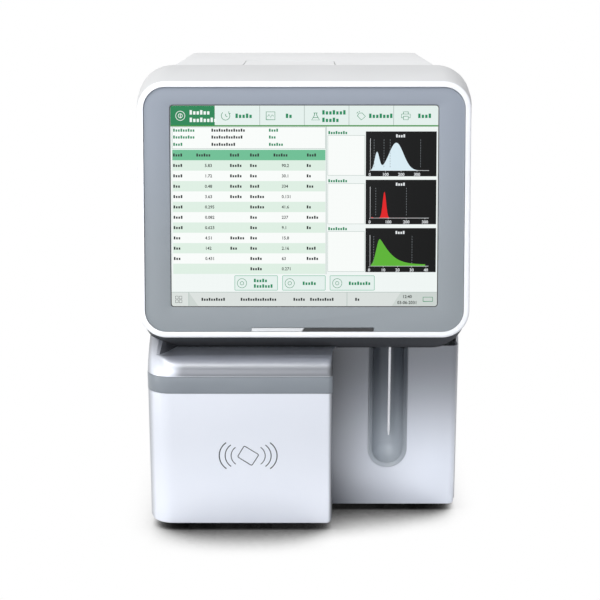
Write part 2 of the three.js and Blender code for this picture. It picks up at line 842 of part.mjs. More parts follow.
function sidePanel(mirror) {
  const shape = rounded([
    [seam, skirt], [coverBack, skirt], [coverBack, sideTop], [coverFront, sideTop],
    [coverFront, shroudBottom + shroudCorner], [seam, shroudBottom + lowerRound],
  ].map(([y, z]) => [y, z, 0]));
  const [low, high] = mirror < 0 ? [-sideHalfWidth, -frontHalfWidth] : [frontHalfWidth, sideHalfWidth];
  const [lipLow, lipHigh] = mirror < 0
    ? [-frontHalfWidth - fit, -frontHalfWidth + lipReach]
    : [frontHalfWidth - lipReach, frontHalfWidth + fit];
  const lip = block(lipLow, lipHigh, seam, coverBack, skirt, lipTop);
  let panel = unite(slab(shape, 'yz', low, high), lip);
  for (let slot = 0; slot < slotCount; slot += 1) {
    const bottom = slotBottom + slot * slotPitch;
    panel = cut(panel, block(low - overrun, high + overrun, slotFront, slotFront + slotLength,
      bottom, bottom + slotHeight));
  }
  return cut(panel, shroudSpace);
}

function topCover() {
  const shell = cut(
    slab(bodyOutline(0, shoulderBottom - shoulderRound + fit), 'xz', coverFront, coverBack),
    slab(bodyOutline(wall, skirt), 'xz', coverFront - overrun, coverBack + overrun));
  const opening = block(recorderLeft - recorderGap, recorderRight + recorderGap, recorderFront,
    recorderBack, bodyTop - wall - overrun, bodyTop + overrun);
  return cut(shell, opening);
}

const boardLeft = circuitFrameX + sheet / 2 + fit;
const jackMiddle = boardLeft + standoff + dataWidth / 2;
const fanHoleInset = fanSide / 2 - wall * 2;
const portPlaces = [0, 1, 2].map((step) => [portX + step * portPitch, portZ]);

function rearPanel() {
  const plate = slab(bodyOutline(0, skirt), 'xz', bodyBack - sheet, bodyBack);
  const fanOpening = bar('y', fanBore, bodyBack - sheet - overrun, bodyBack + overrun,
    [fanX, fanZ], fineSides);
  const entryOpening = block(entryX - entryHalfWidth + entryFlange, entryX + entryHalfWidth - entryFlange,
    bodyBack - sheet - overrun, bodyBack + overrun,
    entryZ + entryBottom + entryFlange, entryZ + entryTop - entryFlange);
  const dataOpening = block(jackMiddle - dataWidth / 2 - fit, jackMiddle + dataWidth / 2 + fit,
    bodyBack - sheet - overrun, bodyBack + overrun, dataZ - fit, dataZ + dataHeight + fit);
  const portHoles = portPlaces.map(([x, z]) =>
    bar('y', portRadius + fit, bodyBack - sheet - overrun, bodyBack + overrun, [x, z], smallSides));
  return cut(plate, fanOpening, entryOpening, dataOpening, ...portHoles);
}

place(machine, 'left_side_panel', sidePanel(-1), whitePlastic);
place(machine, 'right_side_panel', sidePanel(1), whitePlastic);
place(machine, 'top_cover', topCover(), whitePlastic);
place(machine, 'rear_panel', rearPanel(), whitePlastic);

// Chassis: base plate, feet, bulkhead, head arms and the two upright frames

const plateBottom = lipTop + fit;
const plateTop = plateBottom + sheet;
const floorZ = plateTop + fit; // where what stands on the base plate begins

function basePlate() {
  const inner = wall + fit;
  return slab(rounded([
    [-frontHalfWidth + inner, bulgeFront + inner, bulgeCorner - inner],
    [bulgeRight - inner, bulgeFront + inner, bulgeRightCorner - inner],
    [bulgeRight - inner, panelFront + inner, 0],
    [frontHalfWidth - inner, panelFront + inner, panelCorner - inner],
    [frontHalfWidth - inner, seam, 0], [frontHalfWidth - fit, seam, 0],
    [frontHalfWidth - fit, coverBack, 0], [-frontHalfWidth + fit, coverBack, 0],
    [-frontHalfWidth + fit, seam, 0], [-frontHalfWidth + inner, seam, 0],
  ]), 'xy', plateBottom, plateTop);
}

function rubberFoot(x, y) {
  return turned([
    [0, 0], [footBottomRadius - edgeRound, 0], [footBottomRadius, edgeRound],
    [footTopRadius, lipTop], [0, lipTop],
  ], 'z', [x, y, 0]);
}

const bulkheadBack = coverFront + sheet;

function bulkhead() {
  const plate = slab(bodyOutline(wall + fit, floorZ), 'xz', coverFront, bulkheadBack);
  const foot = block(-sideHalfWidth + wall + fit, sideHalfWidth - wall - fit, coverFront,
    bulkheadBack + flangeWidth, floorZ, floorZ + sheet);
  const cables = slab(rectangle(-cableWindowHalf, cableWindowHalf, cableWindowBottom,
    cableWindowBottom + cableWindowHalf * 2, windowCorner), 'xz', coverFront - overrun,
  bulkheadBack + overrun);
  return cut(unite(plate, foot), cables);
}

// Two webs on a crossbar carry the display tray on the bulkhead
function headBracket() {
  const barBack = shroudBack;
  const edgeAt = (z) =>
    (rimDepth + fit + sheet + fit + (z - screenRaise) * Math.sin(headTilt)) / Math.cos(headTilt);
  const side = (z0, z1, depthAt) => rounded(
    [[edgeAt(z0), z0, 0], [depthAt(z0), z0, 0], [depthAt(z1), z1, 0], [edgeAt(z1), z1, 0]]);
  const arm = (x) => {
    const web = slab(side(bracketBottom, bracketTop, () => barBack), 'yz', x - sheet / 2, x + sheet / 2);
    const pad = slab(side(bracketBottom, bracketTop, (z) => edgeAt(z) + sheet), 'yz',
      x - bracketPad / 2, x + bracketPad / 2);
    return unite(web, pad);
  };
  const crossbar = block(-bracketX, bracketX, barBack - sheet, barBack, bracketBottom, bracketTop);
  return unite(arm(-bracketX), arm(bracketX), crossbar);
}

function uprightFrame(x, back) {
  const plate = block(x - sheet / 2, x + sheet / 2, frameFront, back, floorZ, frameTop);
  return unite(plate, block(x, x + flangeWidth, frameFront, back, floorZ, floorZ + sheet));
}

place(machine, 'base_plate', basePlate(), zincSheet);
place(machine, 'foot_front_left', rubberFoot(-feetX, footFrontLeftY), rubber);
place(machine, 'foot_front_right', rubberFoot(feetX, footFrontRightY), rubber);
place(machine, 'foot_rear_left', rubberFoot(-feetX, footBackY), rubber);
place(machine, 'foot_rear_right', rubberFoot(feetX, footBackY), rubber);
place(machine, 'bulkhead', bulkhead(), zincSheet);
place(machine, 'head_bracket', headBracket(), zincSheet);
place(machine, 'fluidics_frame', uprightFrame(fluidFrameX, fluidFrameBack), zincSheet);
place(machine, 'circuit_frame', uprightFrame(circuitFrameX, frameBack), zincSheet);

// Slip recorder: bucket, lid on its hinge pin, paper roll on a spindle, platen and print head

const lidUnderside = bodyTop - wall;
const bucketLeft = recorderLeft - wall - recorderGap;
const bucketRight = recorderRight + wall + recorderGap;
const bucketFront = bulkheadBack + fit;
const bucketBack = recorderBack + wall * 2;
const bucketTop = lidUnderside - fit;
const hingeY = recorderBack - recorderGap - lidBarrel;
const hingeZ = bodyTop - lidBarrel;
const recorderMiddle = (recorderLeft + recorderRight) / 2;
const rollLeft = recorderMiddle - rollWidth / 2;
const rollRight = recorderMiddle + rollWidth / 2;

function recorderBucket() {
  const body = block(bucketLeft, bucketRight, bucketFront, bucketBack, bucketTop - bucketDepth, bucketTop);
  const inside = block(bucketLeft + wall, bucketRight - wall, bucketFront + wall, bucketBack - wall,
    bucketTop - bucketDepth + wall, bucketTop + overrun);
  const pinHole = bar('x', hingePinRadius + fit, bucketLeft + wall / 2, bucketRight - wall / 2,
    [hingeY, hingeZ], smallSides);
  const spindleHole = bar('x', spindleRadius + fit, bucketLeft + wall / 2, bucketRight - wall / 2,
    [rollY, rollZ]);
  return cut(body, inside, pinHole, spindleHole);
}

function hingePin() {
  return bar('x', hingePinRadius, bucketLeft + wall / 2 + fit, bucketRight - wall / 2 - fit,
    [hingeY, hingeZ], smallSides);
}

function paperSpindle() {
  const reach = bucketRight - wall / 2 - fit - recorderMiddle;
  const halfRoll = rollWidth / 2 + fit;
  const disc = (low) => bar('x', spindleDisc, low, low + discThickness, [rollY, rollZ]);
  return unite(
    bar('x', spindleRadius, recorderMiddle - reach, recorderMiddle + reach, [rollY, rollZ]),
    disc(recorderMiddle - halfRoll - discThickness), disc(recorderMiddle + halfRoll));
}

function paperRoll() {
  const core = spindleRadius + runFit;
  return turned([
    [core, rollLeft], [rollRadius, rollLeft], [rollRadius, rollRight], [core, rollRight], [core, rollLeft],
  ], 'x', [0, rollY, rollZ], fineSides);
}

const cheekInner = rollWidth / 2 + fit;

function recorderLid() {
  const front = recorderFront + paperGap;
  const plate = block(recorderLeft, recorderRight, front, hingeY, lidUnderside, bodyTop);
  const barrel = bar('x', lidBarrel, recorderLeft, recorderRight, [hingeY, hingeZ], fineSides);
  const bore = bar('x', lidBore, recorderLeft - overrun, recorderRight + overrun, [hingeY, hingeZ],
    smallSides);
  const cheek = (low) => cut(
    block(low, low + cheekThickness, platenY - cheekHalfDepth, platenY + cheekHalfDepth,
      platenZ - cheekDrop, lidUnderside + fit),
    bar('x', platenShaft + runFit, low - overrun, low + cheekThickness + overrun,
      [platenY, platenZ], smallSides));
  return unite(cut(unite(plate, barrel), bore), cheek(recorderMiddle - cheekInner - cheekThickness),
    cheek(recorderMiddle + cheekInner));
}

function platenRoller() {
  const shaft = cheekInner + cheekThickness;
  return unite(
    bar('x', platenRadius, rollLeft, rollRight, [platenY, platenZ]),
    bar('x', platenShaft, recorderMiddle - shaft, recorderMiddle + shaft, [platenY, platenZ],
      smallSides));
}

function printHead() {
  const back = platenY - platenRadius - fit;
  const top = platenZ + printHeadRise;
  const front = bucketFront + wall + fit;
  const heater = block(rollLeft, rollRight, back - printHeadDepth, back, top - printHeadHeight, top);
  const bracket = block(rollLeft, rollRight, front, back, top - printHeadHeight,
    top - printHeadHeight + sheet);
  return unite(heater, bracket);
}

place(machine, 'recorder_bucket', recorderBucket(), whitePlastic);
place(machine, 'recorder_lid', recorderLid(), whitePlastic);
place(machine, 'lid_hinge_pin', hingePin(), steel);
place(machine, 'paper_spindle', paperSpindle(), darkPlastic);
place(machine, 'paper_roll', paperRoll(), thermalPaper);
place(machine, 'platen_roller', platenRoller(), rubber);
place(machine, 'print_head', printHead(), aluminium);

// Probe lift: a bracket on the bulkhead with a screw, a rod, a carriage and the needle

const screwX = probeX + screwOffset;
const rodX = probeX - liftWidth / 2 + rodInset;
const liftAxisY = coverFront - fit - liftAxisBack;
const liftLeft = probeX - liftWidth / 2;
const liftRight = probeX + liftWidth / 2;
const liftFront = probeY - washSide / 2;
const liftBack = coverFront - fit;
const liftTop = liftBottom + liftPlate + liftSpan;

function liftFrame() {
  const back = block(liftLeft, liftRight, liftBack - sheet, liftBack, liftBottom, liftTop + liftPlate);
  const lower = block(liftLeft, liftRight, liftFront, liftBack, liftBottom, liftBottom + liftPlate);
  const upper = block(liftLeft, liftRight, liftAxisY - liftMotorSide / 2, liftBack, liftTop,
    liftTop + liftPlate);
  const holes = [
    bar('z', screwRadius + runFit, liftBottom + liftPlate / 2, liftTop + liftPlate + overrun,
      [screwX, liftAxisY]),
    bar('z', rodRadius + fit, liftBottom + liftPlate / 2, liftTop + liftPlate / 2, [rodX, liftAxisY],
      smallSides),
    bar('z', needleRadius + screwShank, liftBottom - overrun, liftBottom + liftPlate + overrun,
      [probeX, probeY], smallSides),
  ];
  return cut(unite(back, lower, upper), ...holes);
}

function guideRod() {
  return bar('z', rodRadius, liftBottom + liftPlate / 2 + fit, liftTop + liftPlate / 2 - fit,
    [rodX, liftAxisY], smallSides);
}

const liftMotorBottom = liftTop + liftPlate + fit;

function liftScrew() {
  return bar('z', screwRadius, liftBottom + liftPlate / 2 + fit, liftMotorBottom, [screwX, liftAxisY]);
}

function liftMotor() {
  const half = liftMotorSide / 2;
  return slab(rectangle(screwX - half, screwX + half, liftAxisY - half, liftAxisY + half, windowCorner),
    'xy', liftMotorBottom + fit, liftMotorBottom + liftMotorHeight);
}

function probeCarriage() {
  const top = carriageRaise + carriageHeight;
  const body = block(liftLeft + fit, screwX + carriageDepth / 2, liftAxisY - carriageDepth / 2,
    liftAxisY + carriageDepth / 2, carriageRaise, top);
  const nose = block(probeX - carriageDepth / 2, probeX + carriageDepth / 2,
    probeY - carriageDepth / 2, liftAxisY, carriageRaise, top);
  return cut(unite(body, nose),
    bar('z', screwRadius + runFit, carriageRaise - overrun, top + overrun, [screwX, liftAxisY]),
    bar('z', rodRadius + runFit, carriageRaise - overrun, top + overrun, [rodX, liftAxisY], smallSides),
    bar('z', needleRadius + fit, carriageRaise - overrun, top + overrun, [probeX, probeY], smallSides));
}

function sampleNeedle() {
  return turned([
    [0, needleTip], [needleRadius / 2, needleTip], [needleRadius, needleTip + needleCone],
    [needleRadius, carriageRaise + carriageHeight + needleCone],
    [0, carriageRaise + carriageHeight + needleCone],
  ], 'z', [probeX, probeY, 0], smallSides);
}

function washBlock() {
  const half = washSide / 2;
  const top = liftBottom - fit;
  const bodyBlock = block(probeX - half, probeX + half, probeY - half, probeY + half,
    top - washHeight, top);
  const hose = bar('y', screwShank, probeY, probeY + half + footTopRadius,
    [probeX, top - washHeight / 2], smallSides);
  return cut(unite(bodyBlock, hose),
    bar('z', needleRadius + fit, top - washHeight - overrun, top + overrun, [probeX, probeY],
      smallSides));
}

place(machine, 'lift_frame', liftFrame(), aluminium);
place(machine, 'guide_rod', guideRod(), steel);
place(machine, 'lift_screw', liftScrew(), steel);
place(machine, 'lift_motor', liftMotor(), motorBlack);
place(machine, 'probe_carriage', probeCarriage(), blackPlastic);
place(machine, 'sample_needle', sampleNeedle(), steel);
place(machine, 'wash_block', washBlock(), clearAcrylic);

// Syringe unit on the fluidics frame: two glass barrels, one screw-driven cross-head

const syringeRight = fluidFrameX - sheet / 2 - fit;
const barrelBottom = barrelTop - barrelLength;

function syringeBlock() {
  const clamp = (z) => block(syringeX - clampHalfWidth, syringeRight, syringeY - clampHalfDepth,
    syringeY + clampHalfDepth, z, z + clampHeight);
  const lower = barrelBottom - fit - clampHeight;
  const back = block(syringeRight - clampHeight / 2, syringeRight, syringeY - clampHalfDepth,
    syringeY + clampHalfDepth, lower, barrelTop + fit + clampHeight);
  const rodHoles = [-1, 1].map((way) => bar('z', plungerRodRadius + fit, lower - overrun,
    barrelBottom + overrun, [syringeX, syringeY + way * syringePitch], smallSides));
  const screwHole = bar('z', screwRadius + runFit, lower - overrun, barrelBottom, [syringeX, syringeY]);
  return cut(unite(clamp(lower), clamp(barrelTop + fit), back), ...rodHoles, screwHole);
}

function syringeBarrel(way, radius) {
  const at = [syringeX, syringeY + way * syringePitch, 0];
  const bore = radius - barrelWall;
  return turned([
    [bore, barrelBottom], [radius, barrelBottom], [radius, barrelTop], [0, barrelTop],
    [0, barrelTop - barrelWall], [bore, barrelTop - barrelWall], [bore, barrelBottom],
  ], 'z', at, fineSides);
}

function plungerDrive() {
  const bottom = crossheadRest;
  const top = crossheadRest + crossheadHeight;
  const crosshead = block(syringeX - crossheadHalfWidth, syringeX + crossheadHalfWidth,
    syringeY - clampHalfDepth, syringeY + clampHalfDepth, bottom, top);
  const plunger = (way, radius) => {
    const at = [syringeX, syringeY + way * syringePitch];
    return unite(
      bar('z', plungerRodRadius, top - sheet, pistonRest + sheet, at, smallSides),
      bar('z', radius - barrelWall - runFit, pistonRest, pistonRest + pistonHeight, at));
  };
  return cut(unite(crosshead, plunger(-1, barrelLargeRadius), plunger(1, barrelSmallRadius)),
    bar('z', screwRadius + runFit, bottom - overrun, top + overrun, [syringeX, syringeY]));
}

const syringeMotorTop = floorZ + syringeMotorHeight;

function syringeScrew() {
  return bar('z', screwRadius, syringeMotorTop + fit, barrelBottom - fit * 2, [syringeX, syringeY]);
}

function syringeMotor() {
  const half = syringeMotorSide / 2;
  return slab(rectangle(syringeX - half, syringeX + half, syringeY - half, syringeY + half,
    windowCorner), 'xy', floorZ, syringeMotorTop);
}

place(machine, 'syringe_block', syringeBlock(), aluminium);
place(machine, 'diluent_barrel', syringeBarrel(-1, barrelLargeRadius), clearAcrylic);
place(machine, 'lyse_barrel', syringeBarrel(1, barrelSmallRadius), clearAcrylic);
place(machine, 'plunger_drive', plungerDrive(), darkPlastic);
place(machine, 'syringe_screw', syringeScrew(), steel);
place(machine, 'syringe_motor', syringeMotor(), motorBlack);

// Valves, pump, vacuum chamber and the two counting baths

function valveManifold() {
  const body = block(syringeRight - manifoldThickness, syringeRight, manifoldFront, manifoldBack,
    manifoldBottom, manifoldTop);
  const valves = [];
  for (let row = 0; row < valveRows; row += 1) {
    for (let column = 0; column < valveColumns; column += 1) {
      const y = manifoldFront + (column + 1 / 2) * (manifoldBack - manifoldFront) / valveColumns;
      const z = manifoldBottom + (row + 1 / 2) * (manifoldTop - manifoldBottom) / valveRows;
      valves.push(bar('x', valveRadius, syringeRight - manifoldThickness - valveLength,
        syringeRight - manifoldThickness / 2, [y, z], smallSides));
    }
  }
  return unite(body, ...valves);
}

function diaphragmPump() {
  const half = pumpSide / 2;
  const headBlock = block(pumpX - half, pumpX + half, pumpY - half, pumpY + half, floorZ,
    floorZ + pumpHeight);
  const motor = bar('y', pumpMotorRadius, pumpY, pumpY + half + pumpMotorLength,
    [pumpX, floorZ + pumpHeight / 2]);
  return unite(headBlock, motor);
}

function vacuumChamber() {
  const top = floorZ + chamberHeight;
  return turned([
    [0, floorZ], [chamberRadius, floorZ], [chamberRadius, top - chamberCap],
    [chamberRadius - barrelWall, top - chamberCap], [chamberRadius - barrelWall, top], [0, top],
  ], 'z', [chamberX, chamberY, 0]);
}

const bathY = bulkheadBack + fit + bathSetBack;
const bathNeckRadius = bathRadius / 3;

function bathBracket() {
  const left = bathX - bathRadius - bathShelf;
  const right = bathX + bathPitch + bathRadius + bathShelf;
  const front = bulkheadBack + fit;
  const shelfTop = bathBottom - fit;
  const back = block(left, right, front, front + sheet, shelfTop - bathShelf, shelfTop + bathBracketHeight);
  const shelf = block(left, right, front, bathY + bathRadius, shelfTop - bathShelf, shelfTop);
  const drains = [0, 1].map((step) => bar('z', bathNeckRadius + fit, shelfTop - bathShelf - overrun,
    shelfTop + overrun, [bathX + step * bathPitch, bathY], smallSides));
  return cut(unite(back, shelf), ...drains);
}

function countingBath(step) {
  const inner = bathRadius - bathWall;
  const top = bathBottom + bathHeight;
  return turned([
    [0, bathBottom - bathShelf - bathNeck], [bathNeckRadius, bathBottom - bathShelf - bathNeck],
    [bathNeckRadius, bathBottom], [bathRadius, bathBottom], [bathRadius, top], [inner, top],
    [inner, bathBottom + bathRadius], [0, bathBottom + bathWall],
  ], 'z', [bathX + step * bathPitch, bathY, 0]);
}

place(machine, 'valve_manifold', valveManifold(), clearAcrylic);
place(machine, 'diaphragm_pump', diaphragmPump(), darkPlastic);
place(machine, 'vacuum_chamber', vacuumChamber(), clearAcrylic);
place(machine, 'bath_bracket', bathBracket(), zincSheet);
place(machine, 'white_cell_bath', countingBath(0), clearAcrylic);
place(machine, 'red_cell_bath', countingBath(1), clearAcrylic);

// Electronics

function mainBoard() {
  const left = boardLeft + standoff;
  const right = left + boardThickness;
  const back = coverBack - fit;
  const board = block(left, right, mainBoardFront, back, mainBoardBottom, mainBoardTop);
  const posts = [mainBoardFront + flangeWidth, frameBack - flangeWidth].flatMap((y) =>
    [mainBoardBottom + flangeWidth, mainBoardTop - flangeWidth].map((z) =>
      bar('x', standoffRadius, boardLeft, right, [y, z], smallSides)));
  const chips = chipShares.map((share) => {
    const y = mainBoardFront + share * (back - mainBoardFront);
    const z = (mainBoardBottom + mainBoardTop) / 2;
    return block(left, right + chipHeight, y, y + chipSide, z, z + chipSide);
  });
  const jackBlock = block(left, left + dataWidth, bodyBack + dataProud - dataDepth,
    bodyBack + dataProud, dataZ, dataZ + dataHeight);
  return cut(unite(board, ...posts, ...chips, jackBlock), ...jackHollows());
}

const jackSizes = [[lanWidth, lanHeight], [usbWidth, usbHeight], [usbWidth, usbHeight]];

function jackHollows() {
  return jackSizes.map(([width, height], row) => {
    const z = dataZ + (row + 1 / 2) * dataHeight / jackSizes.length;
    return block(jackMiddle - width / 2, jackMiddle + width / 2, bodyBack + dataProud - jackDepth,
      bodyBack + overrun, z - height / 2, z + height / 2);
  });
}

function powerSupply() {
  const right = circuitFrameX - sheet / 2 - fit;
  return block(right - supplyWidth, right, supplyFront, supplyBack, floorZ, floorZ + supplyHeight);
}

function readerBoard() {
  const front = bulgeFront + wall + fit;
  const back = front + standoff + boardThickness;
  const board = block(readerX - readerWidth / 2, readerX + readerWidth / 2, front + standoff, back,
    readerZ - readerHeight / 2, readerZ + readerHeight / 2);
  const posts = [-1, 1].flatMap((a) => [-1, 1].map((b) => bar('y', standoffRadius, front, back,
    [readerX + a * (readerWidth / 2 - standoff), readerZ + b * (readerHeight / 2 - standoff)],
    smallSides)));
  return unite(board, ...posts);
}

place(machine, 'main_board', mainBoard(), circuitGreen);
place(machine, 'power_supply', powerSupply(), zincSheet);
place(machine, 'reader_board', readerBoard(), circuitGreen);

// Rear fittings: fan, mains entry with its rocker, reagent ports

const fanBack = bodyBack - sheet - fit;
const fanFront = fanBack - fanDepth;

function fanFrame() {
  const half = fanSide / 2;
  const body = slab(rectangle(fanX - half, fanX + half, fanZ - half, fanZ + half, windowCorner),
    'xz', fanFront, fanBack);
  const bore = bar('y', fanBore, fanFront - overrun, fanBack + overrun, [fanX, fanZ], fineSides);
  const struts = [0, 1, 2].map((step) => {
    const angle = step * 2 * Math.PI / 3;
    const geometry = new THREE.BoxGeometry(fanBore, sheet, fanStrut);
    geometry.translate(fanBore / 2, 0, 0).rotateY(angle);
    return solidOf(geometry.translate(fanX, fanFront + sheet / 2, fanZ));
  });
  const hub = bar('y', fanHub, fanFront, fanFront + sheet, [fanX, fanZ]);
  const pin = bar('y', fanPin, fanFront, fanBack - fanStrut, [fanX, fanZ], smallSides);
  return unite(cut(body, bore), ...struts, hub, pin);
}

function fanRotor() {
  const front = fanFront + sheet + fit;
  const hub = bar('y', fanHub, front, fanBack - sheet, [fanX, fanZ]);
  const blades = Array.from({ length: fanBlades }, (_, step) => {
    const length = fanBore - fanTipGap;
    const geometry = new THREE.BoxGeometry(length, sheet / 2, fanDepth - fanStrut);
    geometry.rotateX(Math.PI / 4).translate(length / 2, 0, 0);
    geometry.rotateY(step * 2 * Math.PI / fanBlades);
    return solidOf(geometry.translate(fanX, (front + fanBack - sheet) / 2, fanZ));
  });
  const depth = block(fanX - fanSide, fanX + fanSide, front, fanBack - sheet, fanZ - fanSide,
    fanZ + fanSide);
  const bore = bar('y', fanPin + runFit, front - overrun, fanBack - fanStrut + fit, [fanX, fanZ],
    smallSides);
  return cut(unite(hub, ...blades).intersect(depth), bore);
}

// Wire rings on two crossing bars over the fan's outlet
function fanGuard() {
  const y = bodyBack + fit + guardBar;
  const rings = Array.from({ length: guardRings }, (_, step) => {
    const geometry = new THREE.TorusGeometry(fanBore * (step + 1) / guardRings, guardWire, wireSides,
      sides);
    return solidOf(geometry.rotateX(Math.PI / 2).translate(fanX, y, fanZ));
  });
  const wires = [1, -1].map((way) => {
    const reach = fanHoleInset * Math.SQRT2 + guardBar;
    const geometry = new THREE.CylinderGeometry(guardBar, guardBar, 2 * reach, wireSides + 2);
    return solidOf(geometry.rotateX(Math.PI / 2).rotateY(way * Math.PI / 4).translate(fanX, y, fanZ));
  });
  return unite(...rings, ...wires);
}

const entryFace = bodyBack + fit + entryFlange;

function mainsEntry() {
  const flange = block(entryX - entryHalfWidth, entryX + entryHalfWidth, bodyBack + fit, entryFace,
    entryZ + entryBottom, entryZ + entryTop);
  const inset = entryFlange + fit;
  const body = block(entryX - entryHalfWidth + inset, entryX + entryHalfWidth - inset,
    entryFace - entryDepth, bodyBack + fit * 2, entryZ + entryBottom + inset, entryZ + entryTop - inset);
  const socket = slab(rounded([
    [entryX - socketHalfWidth, entryZ - socketHalfHeight, 0],
    [entryX + socketHalfWidth, entryZ - socketHalfHeight, 0],
    [entryX + socketHalfWidth, entryZ + socketHalfHeight / 2, 0],
    [entryX + socketHalfWidth / 2, entryZ + socketHalfHeight, 0],
    [entryX - socketHalfWidth / 2, entryZ + socketHalfHeight, 0],
    [entryX - socketHalfWidth, entryZ + socketHalfHeight / 2, 0],
  ]), 'xz', entryFace - socketDepth, entryFace + overrun);
  const blade = (x, z) => block(x - pinThickness / 2, x + pinThickness / 2,
    entryFace - socketDepth - fit, entryFace - pinWidth, z - pinWidth / 2, z + pinWidth / 2);
  const blades = [
    blade(entryX - pinPitch, entryZ + pinRise), blade(entryX + pinPitch, entryZ + pinRise),
    blade(entryX, entryZ + pinEarthRise),
  ];
  const rockerBay = block(entryX - rockerHalfWidth - runFit, entryX + rockerHalfWidth + runFit,
    entryFace - entryDepth + entryFlange, entryFace + overrun,
    entryZ + rockerZ - rockerHalfHeight - rockerSwing, entryZ + rockerZ + rockerHalfHeight + rockerSwing);
  const pivots = [-1, 1].map((way) => {
    const wallAt = entryX + way * (rockerHalfWidth + runFit);
    const low = Math.min(wallAt + way * fit, wallAt - way * rockerPin);
    const high = Math.max(wallAt + way * fit, wallAt - way * rockerPin);
    return bar('x', rockerPin / 2, low, high, [rockerPivotY, entryZ + rockerZ], smallSides);
  });
  return unite(cut(unite(flange, body), socket, rockerBay), ...blades, ...pivots);
}

const rockerPin = 3;
const rockerSwing = 1.2;
const rockerPivotY = entryFace - rockerPivot;

// The rocker rests tipped to its off side
function powerRocker() {
  const shape = rounded([
    [-rockerDepth + rockerPivot, -rockerHalfHeight / 2], [rockerPivot - rockerSwing, -rockerHalfHeight],
    [rockerPivot / 2, 0], [rockerPivot - rockerSwing, rockerHalfHeight],
    [-rockerDepth + rockerPivot, rockerHalfHeight / 2],
  ].map(([y, z]) => [y, z, 0]));
  const geometry = new THREE.ExtrudeGeometry(shape, {
    depth: 2 * rockerHalfWidth, bevelEnabled: false, curveSegments: arcSteps,
  });
  geometry.applyMatrix4(planes.yz).translate(-rockerHalfWidth, 0, 0);
  const bore = new THREE.CylinderGeometry(rockerPin / 2 + runFit, rockerPin / 2 + runFit,
    2 * rockerHalfWidth + overrun, smallSides).rotateZ(-Math.PI / 2);
  for (const piece of [geometry, bore]) {
    piece.rotateX(rockerAngle).translate(entryX, rockerPivotY, entryZ + rockerZ);
  }
  return cut(solidOf(geometry), solidOf(bore));
}

// Three barbed hose ports on one moulded plate
function portPlate() {
  const half = portFlange + wall;
  const last = portX + 2 * portPitch;
  const base = slab(rectangle(portX - half, last + half, portZ - half, portZ + half, windowCorner),
    'xz', bodyBack + fit, bodyBack + fit + portFlangeDepth);
  const ports = portPlaces.map(([x, z]) => {
    const start = bodyBack + fit + portFlangeDepth;
    const profile = [[0, bodyBack - sheet - portFlange], [portRadius, bodyBack - sheet - portFlange],
      [portRadius, start]];
    for (let barb = 0; barb < portBarbs; barb += 1) {
      const from = start + barb * portLength / portBarbs;
      const to = start + (barb + 1) * portLength / portBarbs;
      profile.push([portRadius, from + fit], [portRadius, (from + to) / 2],
        [portRadius * barbNeckShare, to]);
    }
    profile.push([0, start + portLength]);
    return turned(profile.filter((point, index) =>
      index === 0 || point.join() !== profile[index - 1].join()), 'y', [x, 0, z], smallSides);
  });
  return unite(base, ...ports);
}

place(machine, 'fan_frame', fanFrame(), blackPlastic);
place(machine, 'fan_rotor', fanRotor(), blackPlastic);
place(machine, 'fan_guard', fanGuard(), steel);
place(machine, 'mains_entry', mainsEntry(), blackPlastic);
place(machine, 'power_rocker', powerRocker(), blackPlastic);
place(machine, 'port_plate', portPlate(), whitePlastic);

// The origin is the middle of the footprint, on the table
const extent = new THREE.Box3().setFromObject(machine);
machine.position.y = -(extent.min.y + extent.max.y) / 2;

export default machine;
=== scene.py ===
# The looks of a bench-top blood cell analyser: a tilted touch-screen head over a two-depth lower front.
# Pieces are drawn in millimetres, with Y zero at the middle of the screen, and settled into the frame.
import json
import math

import bpy
from mathutils import Matrix, Vector

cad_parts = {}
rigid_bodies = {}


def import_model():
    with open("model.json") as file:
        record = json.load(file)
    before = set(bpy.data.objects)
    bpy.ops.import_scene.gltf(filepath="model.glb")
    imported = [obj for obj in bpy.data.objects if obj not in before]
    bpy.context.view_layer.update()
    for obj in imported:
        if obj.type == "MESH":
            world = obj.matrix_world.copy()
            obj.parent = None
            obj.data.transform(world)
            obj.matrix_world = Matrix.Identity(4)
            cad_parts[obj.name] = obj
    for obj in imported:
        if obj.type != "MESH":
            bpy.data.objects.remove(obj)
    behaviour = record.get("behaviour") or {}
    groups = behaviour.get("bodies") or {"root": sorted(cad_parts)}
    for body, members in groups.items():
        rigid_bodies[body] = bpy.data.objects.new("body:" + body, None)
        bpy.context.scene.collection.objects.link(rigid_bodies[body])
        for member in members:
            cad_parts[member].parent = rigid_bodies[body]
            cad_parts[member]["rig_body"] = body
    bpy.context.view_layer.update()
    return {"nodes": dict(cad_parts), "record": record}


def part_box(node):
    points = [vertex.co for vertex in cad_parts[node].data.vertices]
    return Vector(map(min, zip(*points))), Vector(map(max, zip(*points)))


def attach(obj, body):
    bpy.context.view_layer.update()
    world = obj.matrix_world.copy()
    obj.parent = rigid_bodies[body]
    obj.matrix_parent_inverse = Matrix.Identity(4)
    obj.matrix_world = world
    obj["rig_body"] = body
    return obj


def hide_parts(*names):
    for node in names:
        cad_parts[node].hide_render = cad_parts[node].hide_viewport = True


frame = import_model()

MM = 0.001
NEAR = 0.06  # how close two places count as one
TAU = 2 * math.pi

